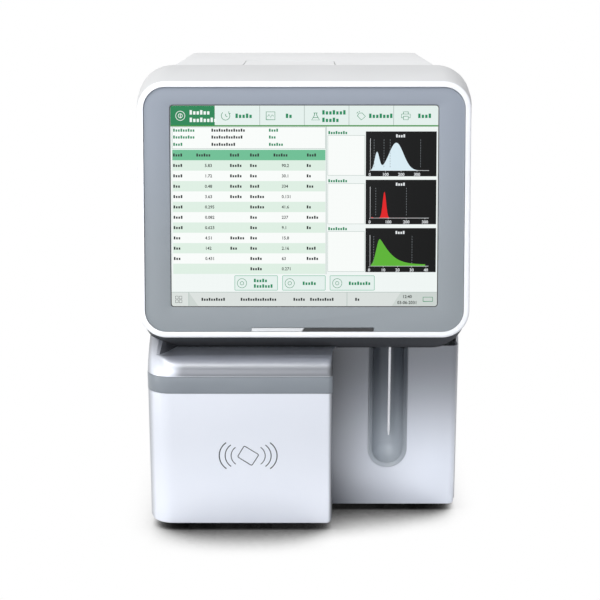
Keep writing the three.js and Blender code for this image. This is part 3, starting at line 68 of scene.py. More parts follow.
# Body
BODY_BACK = 336
COVER_WALL = 2.5
FIT = 0.3
FRONT_HALF = 151
SIDE_HALF = 153.5
SKIRT = 6
LIP_REACH = 10
EASE = 0.6
EDGE_EASE = 0.35
BULGE_FRONT = -6
BULGE_RIGHT = 27
BULGE_CORNER = 24
BULGE_RIGHT_CORNER = 5
PANEL_FRONT = 44.7
PANEL_CORNER = 6
COVER_BACK = 61.7
LOWER_ROUND = 4
LOWER_ROUND_SHARE = 0.3  # at which the left cover's lower round has its middle ring
PANEL_LIP_SHARE = 0.9  # of the lip's reach, for the right panel
COVE_START = 156.4  # where the left cover goes back under the head, beside a pillar at its corner
COVE_RISE = 17.2
COVE_REACH = 56
COVE_ROUND = 17
COVE_LEVEL_SHARE = 0.97  # of the quarter turn that the round edge makes
COVE_FLARE = 20
COVE_FLARE_POWER = 4.5
COVE_STEPS = 10
PILLAR_WIDTH = 8
PILLAR_BLEND = 27
PILLAR_RISE = 33.6
PILLAR_REACH = 24
PILLAR_GROWTH = 16
PILLAR_STEPS = 4
BAND_BOTTOM = 139.7
BAND_TOP = 155.7
BAND_PROUD = 0.2
BAND_DEPTH = 1
BAND_EASE = 0.15
BAND_JOINT = 0.4  # dark line left round the band
UNDER_HEAD = 172.6
TOP_FRONT = 80.3
TOP_BACK = 333.7
BODY_TOP = 441
TOP_FLAT_HALF = 128
SHOULDER_BOTTOM = 412
TOP_LOW = 403.3
SHOULDER_ROUND = 9
SHOULDER_STEPS = 8
LID_OPENING = (86, 180)  # front and back of the top cover's opening for the lid

# Head, drawn square and then tilted back
HEAD_TILT = math.radians(9)
SCREEN_RAISE = 318.4
SCREEN_WIDTH = 246
SCREEN_HEIGHT = 184.5
WINDOW_MARGIN = 0.9
WINDOW_CORNER = 3
BEZEL_HALF = 148
BEZEL_LOW = -116.2
BEZEL_HIGH = 109.2
BEZEL_CORNER = 20
BEZEL_DEPTH = 3
RIM_FACE = 5.4
RIM_PROUD = 1.4
RIM_DEPTH = 12
RIM_ROUND = 2.2
LEDGE = 8
SURROUND_WIDTH = 0.7
SURROUND_DEPTH = 0.5
LIGHT_LEFT = -48.9
LIGHT_RIGHT = 64.3
LIGHT_HEIGHT = 3.2

# Shroud
SHROUD_FRONT = 12.3
SHROUD_MIDDLE = 50
SHROUD_MIDDLE_HALF = 158.5
SHROUD_MIDDLE_LOW = 168.6
SHROUD_MIDDLE_HIGH = 438.5
SHROUD_BACK = 80
SHROUD_HALF = 160
SHROUD_LOW = 165.5
SHROUD_HIGH = 443
SHROUD_CORNER = 34
SHROUD_CORNER_SHARE = 0.8  # of the corner that the rear edge's rounding takes in
SHROUD_BEND = 9
SHROUD_EDGE = 3
SHROUD_FLANGE = 22

# Probe channel
PROBE = (84.5, 51)
NEEDLE_RADIUS = 1.3
NEEDLE_TIP = 78
NEEDLE_CONE = 6
NEEDLE_TOP = 223
NEEDLE_TIP_SHARE = 0.5  # of the tube's thickness
NEEDLE_HOLE = 5
CHANNEL_X = 82.9
CHANNEL_RADIUS = 19.4
CHANNEL_BOTTOM = 46
CHANNEL_TOP = 230

INK = 0.04  # thickness of a print and of what the screen shows
CORNER_STEPS = 12
SMOOTH_ANGLE = math.radians(32)
EASED_ANGLE = math.radians(35)
FLAT_ANGLE = math.radians(0.5)

# Feet and rear fittings
FOOT_TAPER = 2
FOOT_EASE = 0.5
SCREW_RADIUS = 3.2
SCREW_HEIGHT = 1.8
SCREW_INSET = 8
SCREW_ROUND_SHARE = 0.45  # of a screw head's height
SCREW_SLOT_SHARES = (0.55, 0.12)  # of its radius: how far the cross reaches, and half the cross's width
SCREW_ROWS = (200, 380)
SCREW_COLUMNS = (-100, 0, 100)
FAN_BORE = 38
GUARD_RINGS = 3
GUARD_WIRE = 1
GUARD_BAR_SHARE = 1.3  # of a wire's thickness
GUARD_STEPS = (96, 12)  # round a ring and round its wire

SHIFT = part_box("rear_panel")[1].y / MM - BODY_BACK
PLACE = Matrix.Scale(MM, 4) @ Matrix.Translation((0, SHIFT, 0))
TILT = Matrix.Translation((0, 0, SCREEN_RAISE)) @ Matrix.Rotation(-HEAD_TILT, 4, "X")


# Modelling helpers

TURNS = {"top": (0, 0, 0), "front": (TAU / 4, 0, 0), "right": (TAU / 4, 0, TAU / 4)}


def along(facing, a, b, depth):
    """A point from two places across a facing and one along it."""
    return {"top": (a, b, depth), "front": (a, depth, b), "right": (depth, a, b)}[facing]


def object_mode():
    if bpy.context.object and bpy.context.object.mode != "OBJECT":
        bpy.ops.object.mode_set(mode="OBJECT")


def pick_none():
    object_mode()
    bpy.ops.object.select_all(action="DESELECT")


def pick_only(*pieces):
    pick_none()
    for piece in pieces:
        piece.select_set(True)
    bpy.context.view_layer.objects.active = pieces[0]


def made(name, adder, **settings):
    """What an operator adds with nothing picked, under its name."""
    pick_none()
    adder(**settings)
    piece = bpy.context.object
    piece.name = name
    return piece


def flat(name, facing, low, high, depth):
    """A rectangle square to one axis, between two corners, in its own object."""
    middle = along(facing, (low[0] + high[0]) / 2, (low[1] + high[1]) / 2, depth)
    piece = made(name, bpy.ops.mesh.primitive_plane_add, size=1, location=middle, rotation=TURNS[facing])
    piece.scale = (high[0] - low[0], high[1] - low[1], 1)
    bpy.ops.object.transform_apply()
    return piece


def choose(piece, kind, test=lambda point: True):
    """Selects in edit mode each vertex, edge or face whose corners all pass a test."""
    pick_only(piece)
    mesh = piece.data
    passed = [test(vertex.co) for vertex in mesh.vertices]
    for group in (mesh.vertices, mesh.edges, mesh.polygons):
        group.foreach_set("select", [False] * len(group))
    if kind == "VERT":
        mesh.vertices.foreach_set("select", passed)
    else:
        for part in mesh.edges if kind == "EDGE" else mesh.polygons:
            part.select = all(passed[index] for index in part.vertices)
    bpy.context.tool_settings.mesh_select_mode = (kind == "VERT", kind == "EDGE", kind == "FACE")
    bpy.ops.object.mode_set(mode="EDIT")


def at(**places):
    """A test that a point's named coordinates lie at their places."""
    return lambda point: all(abs(getattr(point, axis) - place) < NEAR for axis, place in places.items())


def round_corners(piece, radius, steps=CORNER_STEPS, test=lambda point: True):
    choose(piece, "VERT", test)
    bpy.ops.mesh.bevel(offset=radius, segments=steps, affect="VERTICES")
    object_mode()


def ease_edges(piece, width, test, steps=4):
    choose(piece, "EDGE", test)
    bpy.ops.mesh.bevel(offset=width, segments=steps)
    object_mode()


def extrude(x, y, z):
    bpy.ops.mesh.extrude_region_move(TRANSFORM_OT_translate={"value": (x, y, z)})


def thicken(piece, x, y, z):
    """Gives a flat piece its thickness."""
    choose(piece, "FACE")
    extrude(x, y, z)
    face_out(piece)


def face_out(piece):
    choose(piece, "FACE")
    bpy.ops.mesh.remove_doubles(threshold=NEAR / 3)
    bpy.ops.mesh.normals_make_consistent(inside=False)
    object_mode()


def joined(pieces, name):
    pick_only(*pieces)
    bpy.ops.object.join()
    whole = bpy.context.object
    whole.name = name
    return whole


def drop_faces(piece, test):
    choose(piece, "FACE", test)
    bpy.ops.mesh.delete(type="FACE")
    object_mode()


def edges_only(piece):
    choose(piece, "FACE")
    bpy.ops.mesh.delete(type="ONLY_FACE")
    object_mode()
    return piece


def bridged(outlines, name="skin"):
    """Joins flat outlines with equal corner counts into one skin, each bridged to the next."""
    for index, outline in enumerate(outlines):
        edges_only(outline)
        ring = outline.data.attributes.new("ring", "INT", "POINT")
        ring.data.foreach_set("value", [index] * len(outline.data.vertices))
    skin = joined(outlines, name)
    for index in range(len(outlines) - 1):
        object_mode()
        rings = [item.value for item in skin.data.attributes["ring"].data]
        choose(skin, "EDGE", lambda point: False)
        object_mode()
        for edge in skin.data.edges:
            first, second = (rings[end] for end in edge.vertices)
            edge.select = first == second and first in (index, index + 1)
        bpy.ops.object.mode_set(mode="EDIT")
        bpy.ops.mesh.bridge_edge_loops()
    object_mode()
    skin.data.attributes.remove(skin.data.attributes["ring"])
    face_out(skin)
    return skin


def apply(piece, kind, **settings):
    """Adds a modifier with its settings and applies it."""
    pick_only(piece)
    modifier = piece.modifiers.new(kind.lower(), kind)
    for name, value in settings.items():
        setattr(modifier, name, value)
    bpy.ops.object.modifier_apply(modifier=modifier.name)
    return piece


def carve(piece, *cutters, operation="DIFFERENCE"):
    for cutter in cutters:
        apply(piece, "BOOLEAN", object=cutter, operation=operation, solver="MANIFOLD")
        bpy.data.objects.remove(cutter)
    return piece


def walled(piece, wall=COVER_WALL):
    return apply(piece, "SOLIDIFY", thickness=wall, offset=-1, use_even_offset=True)


def eased(piece, width=0.4, steps=2):
    return apply(piece, "BEVEL", width=width, segments=steps, limit_method="ANGLE", angle_limit=EASED_ANGLE)


def box(name, low, high):
    """A block between two corners."""
    piece = flat(name, "top", low[:2], high[:2], low[2])
    thicken(piece, 0, 0, high[2] - low[2])
    return piece


def rod(name, axis, radius, low, high, across, sides=48, end_radius=None):
    """A round bar or cone along an axis; across holds its two other coordinates."""
    turn = {"x": (0, TAU / 4, 0), "y": (-TAU / 4, 0, 0), "z": (0, 0, 0)}[axis]
    middle = list(across)
    middle.insert("xyz".index(axis), (low + high) / 2)
    piece = made(name, bpy.ops.mesh.primitive_cone_add, vertices=sides, radius1=radius,
                 radius2=radius if end_radius is None else end_radius, depth=high - low, location=middle,
                 rotation=turn)
    bpy.ops.object.transform_apply()
    return piece


def limits(node):
    """A node's lowest and highest corner, in millimetres."""
    return [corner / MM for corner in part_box(node)]


SLOT_OF = {part["node"]: part["material_slot"] for part in frame["record"]["subparts"]}


def settle(piece, node=None, slot=None, material=None, body="cabinet", tilted=False):
    """Brings a finished piece to metres and to its place; a node that it stands for gives slot and body."""
    pick_only(piece)
    bpy.ops.object.shade_smooth_by_angle(angle=SMOOTH_ANGLE)
    piece.matrix_world = PLACE @ TILT if tilted else PLACE
    bpy.ops.object.transform_apply()
    slot = slot or SLOT_OF[node]
    piece.data.materials.clear()
    piece.data.materials.append(material or FINISHES[slot])
    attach(piece, frame["nodes"][node]["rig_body"] if node else body)
    if node:
        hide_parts(node)


def softened(node, material=None, width=0.4, steps=2, whole=True):
    """A flat-sided solid's own mesh with whole faces and eased edges."""
    piece = bpy.data.objects.new(f"{node}_finished", frame["nodes"][node].data.copy())
    bpy.context.scene.collection.objects.link(piece)
    piece.data.transform(PLACE.inverted())
    pick_only(piece)
    bpy.ops.mesh.customdata_custom_splitnormals_clear()
    choose(piece, "FACE")
    bpy.ops.mesh.remove_doubles(threshold=NEAR / 6)
    if whole:
        bpy.ops.mesh.dissolve_limited(angle_limit=FLAT_ANGLE)
    object_mode()
    eased(piece, width, steps)
    settle(piece, node, material=material)
    apply(piece, "WEIGHTED_NORMAL", keep_sharp=True)


def path(points, depth, facing="front"):
    """A run of edges through places across a facing, at a depth."""
    a, b = points[0]
    piece = flat("path", facing, (a - NEAR, b - NEAR), (a + NEAR, b + NEAR), depth)
    choose(piece, "VERT")
    bpy.ops.mesh.merge(type="CENTER")
    for (a, b), (next_a, next_b) in zip(points, points[1:]):
        move = along(facing, next_a - a, next_b - b, 0)
        bpy.ops.mesh.extrude_vertices_move(TRANSFORM_OT_translate={"value": move})
    object_mode()
    return piece


def filled(points, depth, corner=0.0, facing="front"):
    """A flat outline through places across a facing, with its corners rounded."""
    piece = path(points, depth, facing)
    choose(piece, "VERT")
    bpy.ops.mesh.edge_face_add()
    object_mode()
    if corner:
        round_corners(piece, corner, steps=4)
    return piece


def drawn(piece, depth, width):
    """Turns bare edges into a drawn line of a width."""
    pick_only(piece)
    bpy.ops.object.convert(target="CURVE")
    line = bpy.context.object
    line.data.bevel_depth = width / 2
    line.data.bevel_resolution = 1
    line.data.use_fill_caps = True
    bpy.ops.object.convert(target="MESH")
    piece = bpy.context.object
    choose(piece, "FACE")
    bpy.ops.transform.resize(value=(1, INK / width, 1), center_override=(0, depth, 0))
    object_mode()
    return piece


def stroke(points, depth, width):
    return drawn(path(points, depth), depth, width)


def outlined(points, depth, width, corner=0.0):
    return drawn(edges_only(filled(points, depth, corner)), depth, width)


def arc(centre, radius, start, end, steps=16):
    """Places along an arc across the front; its angles are in degrees from the right."""
    turns = [math.radians(start + (end - start) * step / steps) for step in range(steps + 1)]
    return [(centre[0] + radius * math.cos(turn), centre[1] + radius * math.sin(turn)) for turn in turns]


# Materials

def linear(hex_code):
    """An sRGB hex value as linear colour."""
    parts = [int(hex_code[start:start + 2], 16) / 255 for start in (1, 3, 5)]
    return (*(part / 12.92 if part <= 0.04045 else ((part + 0.055) / 1.055) ** 2.4 for part in parts), 1)


def per(millimetres):
    """A pattern's scale on Object coordinates, from its real size."""
    return 1 / (millimetres * MM)


def add(tree, kind, inputs=None, **settings):
    """Adds a node with its settings, and sets or links its inputs."""
    node = tree.nodes.new(kind)
    for name, value in settings.items():
        setattr(node, name, value)
    for name, value in (inputs or {}).items():
        if isinstance(value, bpy.types.NodeSocket):
            tree.links.new(value, node.inputs[name])
        else:
            node.inputs[name].default_value = value
    return node


def new_finish(name):
    material = bpy.data.materials.new(name)
    material.use_nodes = True
    tree = material.node_tree
    tree.nodes.clear()
    place = add(tree, "ShaderNodeTexCoord").outputs["Object"]
    return material, tree, place


def finish_with(tree, **inputs):
    """The shader and the output; names of inputs use _ for a space."""
    shader = add(tree, "ShaderNodeBsdfPrincipled",
                 {name.replace("_", " "): value for name, value in inputs.items()})
    add(tree, "ShaderNodeOutputMaterial", {"Surface": shader.outputs["BSDF"]})
    return shader


def mixed(tree, factor, first, second):
    """Two colours mixed by a factor; each is a hex value, a linear colour or what a node gives."""
    mix = add(tree, "ShaderNodeMix", data_type="RGBA")
    tree.links.new(factor, mix.inputs[0])
    for index, value in ((6, first), (7, second)):
        if isinstance(value, bpy.types.NodeSocket):
            tree.links.new(value, mix.inputs[index])
        else:
            mix.inputs[index].default_value = linear(value) if isinstance(value, str) else value
    return mix.outputs[2]


def ramped(tree, value, low, high):
    """A value brought from between low and high to between 0 and 1, with soft ends."""
    return add(tree, "ShaderNodeMapRange", {"Value": value, "From Min": low, "From Max": high},
               interpolation_type="SMOOTHSTEP").outputs["Result"]


def spread(tree, share, ends):
    """A share brought to between two ends."""
    return add(tree, "ShaderNodeMapRange",
               {"Value": share, "To Min": ends[0], "To Max": ends[1]}).outputs["Result"]


def combined(tree, operation, first, *others):
    """One operation run over two or more values."""
    for value in others:
        first = add(tree, "ShaderNodeMath", {0: first, 1: value}, operation=operation).outputs[0]
    return first


def axes(tree, vector):
    return add(tree, "ShaderNodeSeparateXYZ", {"Vector": vector}).outputs


def normal_axes(tree):
    """How far the surface faces along each axis."""
    return axes(tree, add(tree, "ShaderNodeTexCoord").outputs["Normal"])


def noise(tree, place, size, detail=2.0):
    return add(tree, "ShaderNodeTexNoise",
               {"Vector": place, "Scale": per(size), "Detail": detail}).outputs["Fac"]


def bands(tree, place, pitch, axis, **inputs):
    """Even bands square to an axis."""
    return add(tree, "ShaderNodeTexWave", {"Vector": place, "Scale": per(pitch) / TAU * 2, **inputs},
               wave_type="BANDS", bands_direction=axis).outputs["Fac"]


def bumped(tree, height, depth):
    """A surface relief of a depth in millimetres."""
    return add(tree, "ShaderNodeBump",
               {"Height": height, "Distance": depth * MM, "Strength": 1.0}).outputs["Normal"]


CLOUD_SIZE = 45  # of the faint clouds in a moulding's colour
# Painted shade: the span of facing over which an underside is darkened
PAINTED_UNDERSIDE_SHADE_SHARES = (-0.12, -0.78)  # of facing up, between which an underside turns dark


def moulded_plastic(name, shade, light, gloss, grain=0.7, depth=0.012, under=None):
    """Injection-moulded ABS: fine spark-eroded grain on a clouded colour, and maybe painted shade on its
    underside, made dark and matt.
    """
    material, tree, place = new_finish(name)
    colour = mixed(tree, noise(tree, place, CLOUD_SIZE), shade, light)
    grains = noise(tree, place, grain, 3.0)
    roughness = spread(tree, grains, gloss)
    if under:
        # Painted shade: where the surface faces down it turns to the dark colour and goes matt
        down = ramped(tree, normal_axes(tree)["Z"], *PAINTED_UNDERSIDE_SHADE_SHARES)
        colour = mixed(tree, down, colour, under)
        roughness = combined(tree, "MAXIMUM", roughness, down)
    finish_with(tree, Base_Color=colour, Roughness=roughness, IOR=1.5, Normal=bumped(tree, grains, depth))
    return material


def lacquer_with_painted_height_shade(name, high, low, span, gloss):
    """Satin lacquer over ABS whose colour turns from one to another down a span of heights: painted shade."""
    material, tree, place = new_finish(name)
    # Painted shade: the colour ramps with height between the two given
    down = ramped(tree, axes(tree, place)["Z"], span[0] * MM, span[1] * MM)
    grains = noise(tree, place, 0.6, 3.0)
    finish_with(tree, Base_Color=mixed(tree, down, high, low), Roughness=spread(tree, grains, gloss), IOR=1.5,
                Normal=bumped(tree, grains, 0.006))
    return material


# Painted shade on the silver lacquer, in tones: where each begins and ends, and the share of its brightness
# that it ends at
PANEL_ACROSS_TONE = (130, 30, 0.52)
PANEL_UP_TONE = (40, 168, 0.24)
BULGE_UP_TONE = (15, 110, 0.84)
BULGE_LEFT_TONE = (-0.7, -0.99, 0.46)
BULGE_RIGHT_TONE = (0.15, 0.95, 0.2)
COVE_TONE = (0, 1, 0.27)
PILLAR_TONE = (0, 1, 0.5)
BAND_EDGE = (-1, 1)  # heights above the band's joint, in millimetres
COVE_FADE = (17, 4)
PILLAR_HEIGHTS = (4, 32)
BESIDE_PILLAR = (-132, -112)
ON_PILLAR = (-114, -130)


def painted_shade_share(tree, value, tone, unit=1):
    """A share of painted shade that is 1 where a tone begins and eases to the tone's own share where it ends.
    """
    begin, end, end_share = tone
    return add(tree, "ShaderNodeMapRange", {"Value": value, "From Min": begin * unit, "From Max": end * unit,
                                            "To Min": 1.0, "To Max": end_share},
               interpolation_type="SMOOTHSTEP").outputs["Result"]


def panel_painted_shade(tree, place):
    """Painted shade on the right panel's lacquer: darker towards the head and towards the bulge, whose
    shadows fall on it.
    """
    at_place = axes(tree, place)
    return combined(tree, "MULTIPLY", painted_shade_share(tree, at_place["X"], PANEL_ACROSS_TONE, MM),
                    painted_shade_share(tree, at_place["Z"], PANEL_UP_TONE, MM))


def bulge_painted_shade(tree, place):
    """Painted shade on the bulge's lacquer: darker over the band, up the pillar, higher up and at both sides;
    in the cove it is also a painted reflection of the head's dark underside.
    """
    at_place = axes(tree, place)
    aside = normal_axes(tree)["X"]
    level = combined(tree, "SUBTRACT", at_place["Z"], COVE_START * MM)

    def inside(*spans):
        return combined(tree, "MULTIPLY",
                        *[ramped(tree, value, low * MM, high * MM) for value, (low, high) in spans])

    in_cove = inside((level, BAND_EDGE), (at_place["X"], BESIDE_PILLAR), (level, COVE_FADE))
    on_pillar = inside((level, PILLAR_HEIGHTS), (at_place["X"], ON_PILLAR))
    return combined(tree, "MULTIPLY", painted_shade_share(tree, in_cove, COVE_TONE), painted_shade_share(tree, on_pillar, PILLAR_TONE),
                    painted_shade_share(tree, at_place["Z"], BULGE_UP_TONE, MM), painted_shade_share(tree, aside, BULGE_RIGHT_TONE),
                    painted_shade_share(tree, aside, BULGE_LEFT_TONE))


def pearl_lacquer(name, shade, light, tone):
    """Silver lacquer over ABS: fine flakes that take up the light and dark around, under a clear coat, with
    painted shade mixed in towards near-black by a tone.
    """
    material, tree, place = new_finish(name)
    flakes = noise(tree, place, 0.5, 3.0)
    bright = mixed(tree, noise(tree, place, CLOUD_SIZE), shade, light)
    # Painted shade: the tone mixes the lacquer's colour towards near-black
    finish_with(tree, Base_Color=mixed(tree, tone(tree, place), "#14161a", bright), Metallic=0.35,
                Roughness=spread(tree, flakes, (0.34, 0.44)), Coat_Weight=0.25, Coat_Roughness=0.12,
                Normal=bumped(tree, flakes, 0.006))
    return material


def metal(name, shade, light, gloss, grain, stretch=(1, 1, 1), depth=0.01):
    """Bare metal whose grain follows how it was worked: stretched where it was ground or drawn."""
    material, tree, place = new_finish(name)
    worked = add(tree, "ShaderNodeMapping", {"Vector": place, "Scale": stretch}).outputs["Vector"]
    grains = noise(tree, worked, grain, 4.0)
    finish_with(tree, Base_Color=mixed(tree, grains, shade, light), Roughness=spread(tree, grains, gloss),
                Metallic=1.0, Normal=bumped(tree, grains, depth))
    return material


def zinc_plate():
    """Hot-dipped zinc: flat spangles a few millimetres across, each a shade of its own."""
    material, tree, place = new_finish("zinc_plated_sheet")
    cells = add(tree, "ShaderNodeTexVoronoi", {"Vector": place, "Scale": per(5)})
    shade = add(tree, "ShaderNodeRGBToBW", {"Color": cells.outputs["Color"]}).outputs["Val"]
    relief = bumped(tree, cells.outputs["Distance"], 0.01)
    finish_with(tree, Base_Color=mixed(tree, shade, "#9da3a7", "#b9bfc3"), Metallic=1.0,
                Roughness=spread(tree, shade, (0.34, 0.5)), Normal=relief)
    return material


def banded(name, shade, light, pitch, axis, gloss, depth, metallic=0.0):
    """A screw's thread, a motor's laminations or a paper roll's layers."""
    material, tree, place = new_finish(name)
    waves = bands(tree, place, pitch, axis, Distortion=0.3, Detail=1.0)
    finish_with(tree, Base_Color=mixed(tree, waves, shade, light), Roughness=gloss, Metallic=metallic,
                Normal=bumped(tree, waves, depth))
    return material


def clear_acrylic():
    """Polished cast acrylic: clear, a little blue-green, with a faint waviness left by the flame."""
    material, tree, place = new_finish("polished_acrylic")
    waves = noise(tree, place, 9)
    finish_with(tree, Base_Color=mixed(tree, waves, "#dfeceb", "#eef6f5"), Roughness=0.04, IOR=1.49,
                Transmission_Weight=0.85, Normal=bumped(tree, waves, 0.02))
    return material


def circuit_board():
    """Glass-epoxy board under green solder mask, with tracks that show through and tinned pads."""
    material, tree, place = new_finish("solder_masked_board")
    turned = add(tree, "ShaderNodeMapping", {"Vector": place, "Rotation": (0, TAU / 4, 0)}).outputs["Vector"]
    tracks = add(tree, "ShaderNodeTexBrick", {
        "Vector": turned, "Color1": linear("#1d6843"), "Color2": linear("#237550"),
        "Mortar": linear("#134a2f"), "Scale": per(9), "Mortar Size": 0.03, "Brick Width": 1.3,
        "Row Height": 0.22})
    pads = add(tree, "ShaderNodeTexVoronoi", {"Vector": place, "Scale": per(5)}).outputs["Distance"]
    pad = ramped(tree, pads, 0.16, 0.12)
    finish_with(tree, Base_Color=mixed(tree, pad, tracks.outputs["Color"], "#b9bcb6"), Roughness=0.38,
                Normal=bumped(tree, pad, 0.05))
    return material


DOT_PITCH = 1.2
DOT_GAP_SHARE = 0.955  # of a lit dot's light


def lit(name, shown):
    """A backlit colour: the panel's fine dot grid, drawn coarse enough to show."""
    material, tree, place = new_finish(name)
    grid = combined(tree, "MULTIPLY", *[bands(tree, place, DOT_PITCH, axis) for axis in "XZ"])
    dimmed = tuple(part * DOT_GAP_SHARE for part in linear(shown)[:3]) + (1,)
    glow = mixed(tree, grid, dimmed, shown)
    shader = finish_with(tree, Base_Color=(0, 0, 0, 1), Roughness=0.25, Specular_IOR_Level=0.12,
                         Emission_Color=glow, Emission_Strength=1.0)
    shader.name = "glow"
    return material


# Each material slot's finish
FINISHES = {
    "white_plastic": moulded_plastic("white_abs", "#e6e7e6", "#edeeed", (0.38, 0.5)),
    # Painted shade on the bulge's silver lacquer
    "silver_plastic": pearl_lacquer("silver_lacquered_abs_painted_shade", "#eff4fd", "#f3f7ff", bulge_painted_shade),
    # Painted shade down the bezel: lighter at the top
    "grey_bezel": lacquer_with_painted_height_shade("grey_lacquered_bezel_painted_shade", "#949ca7", "#8c9397", (420, 230), (0.46, 0.58)),
    "grey_trim": moulded_plastic("grey_band_abs", "#7f868c", "#8a9197", (0.3, 0.42)),
    "dark_plastic": moulded_plastic("dark_grey_abs", "#26282b", "#2d3033", (0.4, 0.52)),
    "black_plastic": moulded_plastic("black_abs", "#17181a", "#1f2022", (0.34, 0.46)),
    "light_lens": moulded_plastic("pale_light_lens", "#cdd0d2", "#d6d8d9", (0.12, 0.2), depth=0.003),
    "rubber": moulded_plastic("nitrile_rubber", "#1a1a1b", "#262627", (0.7, 0.85), grain=1.2, depth=0.05),
    "screen_glass": moulded_plastic("touch_glass", "#d5e2de", "#e0ebe8", (0.05, 0.1), depth=0.001),
    "steel": metal("ground_steel", "#b3b8bb", "#c9cdd0", (0.2, 0.34), 0.5, (1, 1, 0.08), 0.004),
    "aluminium": metal("milled_aluminium", "#bfc3c6", "#d2d5d8", (0.26, 0.4), 0.8, (0.1, 1, 1), 0.008),
    "zinc_sheet": zinc_plate(),
    "motor_black": banded("lacquered_motor_plates", "#1d1e20", "#303235", 1.2, "Z", 0.42, 0.05),
    "thermal_paper": banded("wound_thermal_paper", "#f0f0ec", "#f7f7f4", 0.9, "X", 0.7, 0.02),
    "acrylic": clear_acrylic(),
    "circuit_board": circuit_board(),
}

# Finishes of single pieces; the shroud's dark, matt underside is painted shade
SHROUD_ABS = moulded_plastic("white_abs_painted_shade_below", "#d4d5d4", "#dcdddc", (0.42, 0.54), under="#31343a")
RIM_ABS = moulded_plastic("gloss_white_abs", "#f7f9fb", "#fbfdff", (0.16, 0.24), depth=0.004)
# Painted shade on the right panel's lacquer
PANEL_ABS = pearl_lacquer("silver_panel_lacquer_painted_shade", "#ebf1fc", "#f0f5fe", panel_painted_shade)
# Painted shade in the channel: dark at the top under the head, light below
CHANNEL_ABS = lacquer_with_painted_height_shade("grey_channel_lacquer_painted_shade", "#474c52", "#b2b9bf", (160, 50), (0.3, 0.42))
PRINT_INK = moulded_plastic("screen_printed_ink", "#303336", "#3b3e41", (0.5, 0.65), depth=0.002)
NEEDLE_COAT = moulded_plastic("fluoropolymer_needle_coat", "#fbfcfd", "#feffff", (0.3, 0.4), depth=0.002)
THREAD = banded("rolled_thread_steel", "#8f9498", "#c3c7ca", 5, "Z", 0.28, 0.35, metallic=1.0)


# Head pieces

RIM_HALF = BEZEL_HALF + RIM_FACE
RIM_LOW = BEZEL_LOW - RIM_FACE
RIM_HIGH = BEZEL_HIGH + RIM_FACE
RIM_CORNER = BEZEL_CORNER + RIM_FACE


def head_rim():
    """The white frame round the bezel, with a ledge that the bezel sits on."""
    rim = flat("head_rim_frame", "front", (-RIM_HALF, RIM_LOW), (RIM_HALF, RIM_HIGH), -RIM_PROUD)
    round_corners(rim, RIM_CORNER)
    thicken(rim, 0, RIM_PROUD + RIM_DEPTH, 0)
    ease_edges(rim, RIM_ROUND, at(y=-RIM_PROUD), steps=5)
    choose(rim, "FACE", at(y=-RIM_PROUD))
    bpy.ops.mesh.inset(thickness=RIM_FACE - RIM_ROUND)
    extrude(0, RIM_PROUD + BEZEL_DEPTH + FIT, 0)
    bpy.ops.mesh.inset(thickness=LEDGE)
    extrude(0, RIM_DEPTH - BEZEL_DEPTH - FIT, 0)
    bpy.ops.mesh.delete(type="FACE")
    choose(rim, "FACE", at(y=RIM_DEPTH))
    bpy.ops.mesh.inset(thickness=RIM_FACE + LEDGE)
    bpy.ops.mesh.delete(type="FACE")
    face_out(rim)
    settle(rim, "head_rim", material=RIM_ABS, tilted=True)


def window_outline(name, margin, y):
    half = SCREEN_WIDTH / 2 + margin
    high = SCREEN_HEIGHT / 2 + margin
    outline = flat(name, "front", (-half, -high), (half, high), y)
    round_corners(outline, WINDOW_CORNER)
    return outline


def head_bezel():
    half = BEZEL_HALF - FIT
    edge = flat("head_bezel_plate", "front", (-half, BEZEL_LOW + FIT), (half, BEZEL_HIGH - FIT), 0)
    round_corners(edge, BEZEL_CORNER - FIT)
    bezel = bridged([edge, window_outline("window", WINDOW_MARGIN, 0)], "head_bezel_plate")
    thicken(bezel, 0, BEZEL_DEPTH, 0)
    notch = box("notch", (LIGHT_LEFT - FIT, -BEZEL_DEPTH, BEZEL_LOW - FIT),
                (LIGHT_RIGHT + FIT, 2 * BEZEL_DEPTH, BEZEL_LOW + LIGHT_HEIGHT + 2 * FIT))
    carve(bezel, notch)
    eased(bezel, EDGE_EASE, steps=3)
    settle(bezel, "head_bezel", tilted=True)


def screen_surround():
    """The dark gasket between the bezel's window and the glass; it also stands for the shadow line along the
    window's edge, a painted shade.
    """
    surround = window_outline("screen_surround", WINDOW_MARGIN - FIT / 3, FIT)
    choose(surround, "FACE")
    bpy.ops.mesh.inset(thickness=SURROUND_WIDTH)
    bpy.ops.mesh.delete(type="FACE")
    thicken(surround, 0, SURROUND_DEPTH, 0)
    settle(surround, slot="black_plastic", tilted=True)


# Shroud

def shroud_outline(name, low, high, depth, corner, grown):
    outline = flat(name, "front", (low[0] - grown, low[1] - grown), (high[0] + grown, high[1] + grown), depth)
    round_corners(outline, corner + grown)
    return outline


def shroud_skin(grown=0.0):
    """A loft from the tilted rim back to an upright rear edge, drawn grown all round when it cuts others."""
    front = shroud_outline("front", (-RIM_HALF, RIM_LOW), (RIM_HALF, RIM_HIGH), SHROUD_FRONT - grown,
                           RIM_CORNER, grown)
    front.data.transform(TILT)
    middle = shroud_outline("middle", (-SHROUD_MIDDLE_HALF, SHROUD_MIDDLE_LOW),
                            (SHROUD_MIDDLE_HALF, SHROUD_MIDDLE_HIGH), SHROUD_MIDDLE, SHROUD_CORNER, grown)
    back = shroud_outline("back", (-SHROUD_HALF, SHROUD_LOW), (SHROUD_HALF, SHROUD_HIGH),
                          SHROUD_BACK + grown, SHROUD_CORNER, grown)
    return bridged([front, middle, back])


def closed(skin):
    """Fills a skin's open ends."""
    choose(skin, "EDGE")
    bpy.ops.mesh.fill_holes(sides=0)
    face_out(skin)
    return skin


def shroud_space():
    """What the covers below and behind the shroud are cut back from."""
    return closed(shroud_skin(FIT))


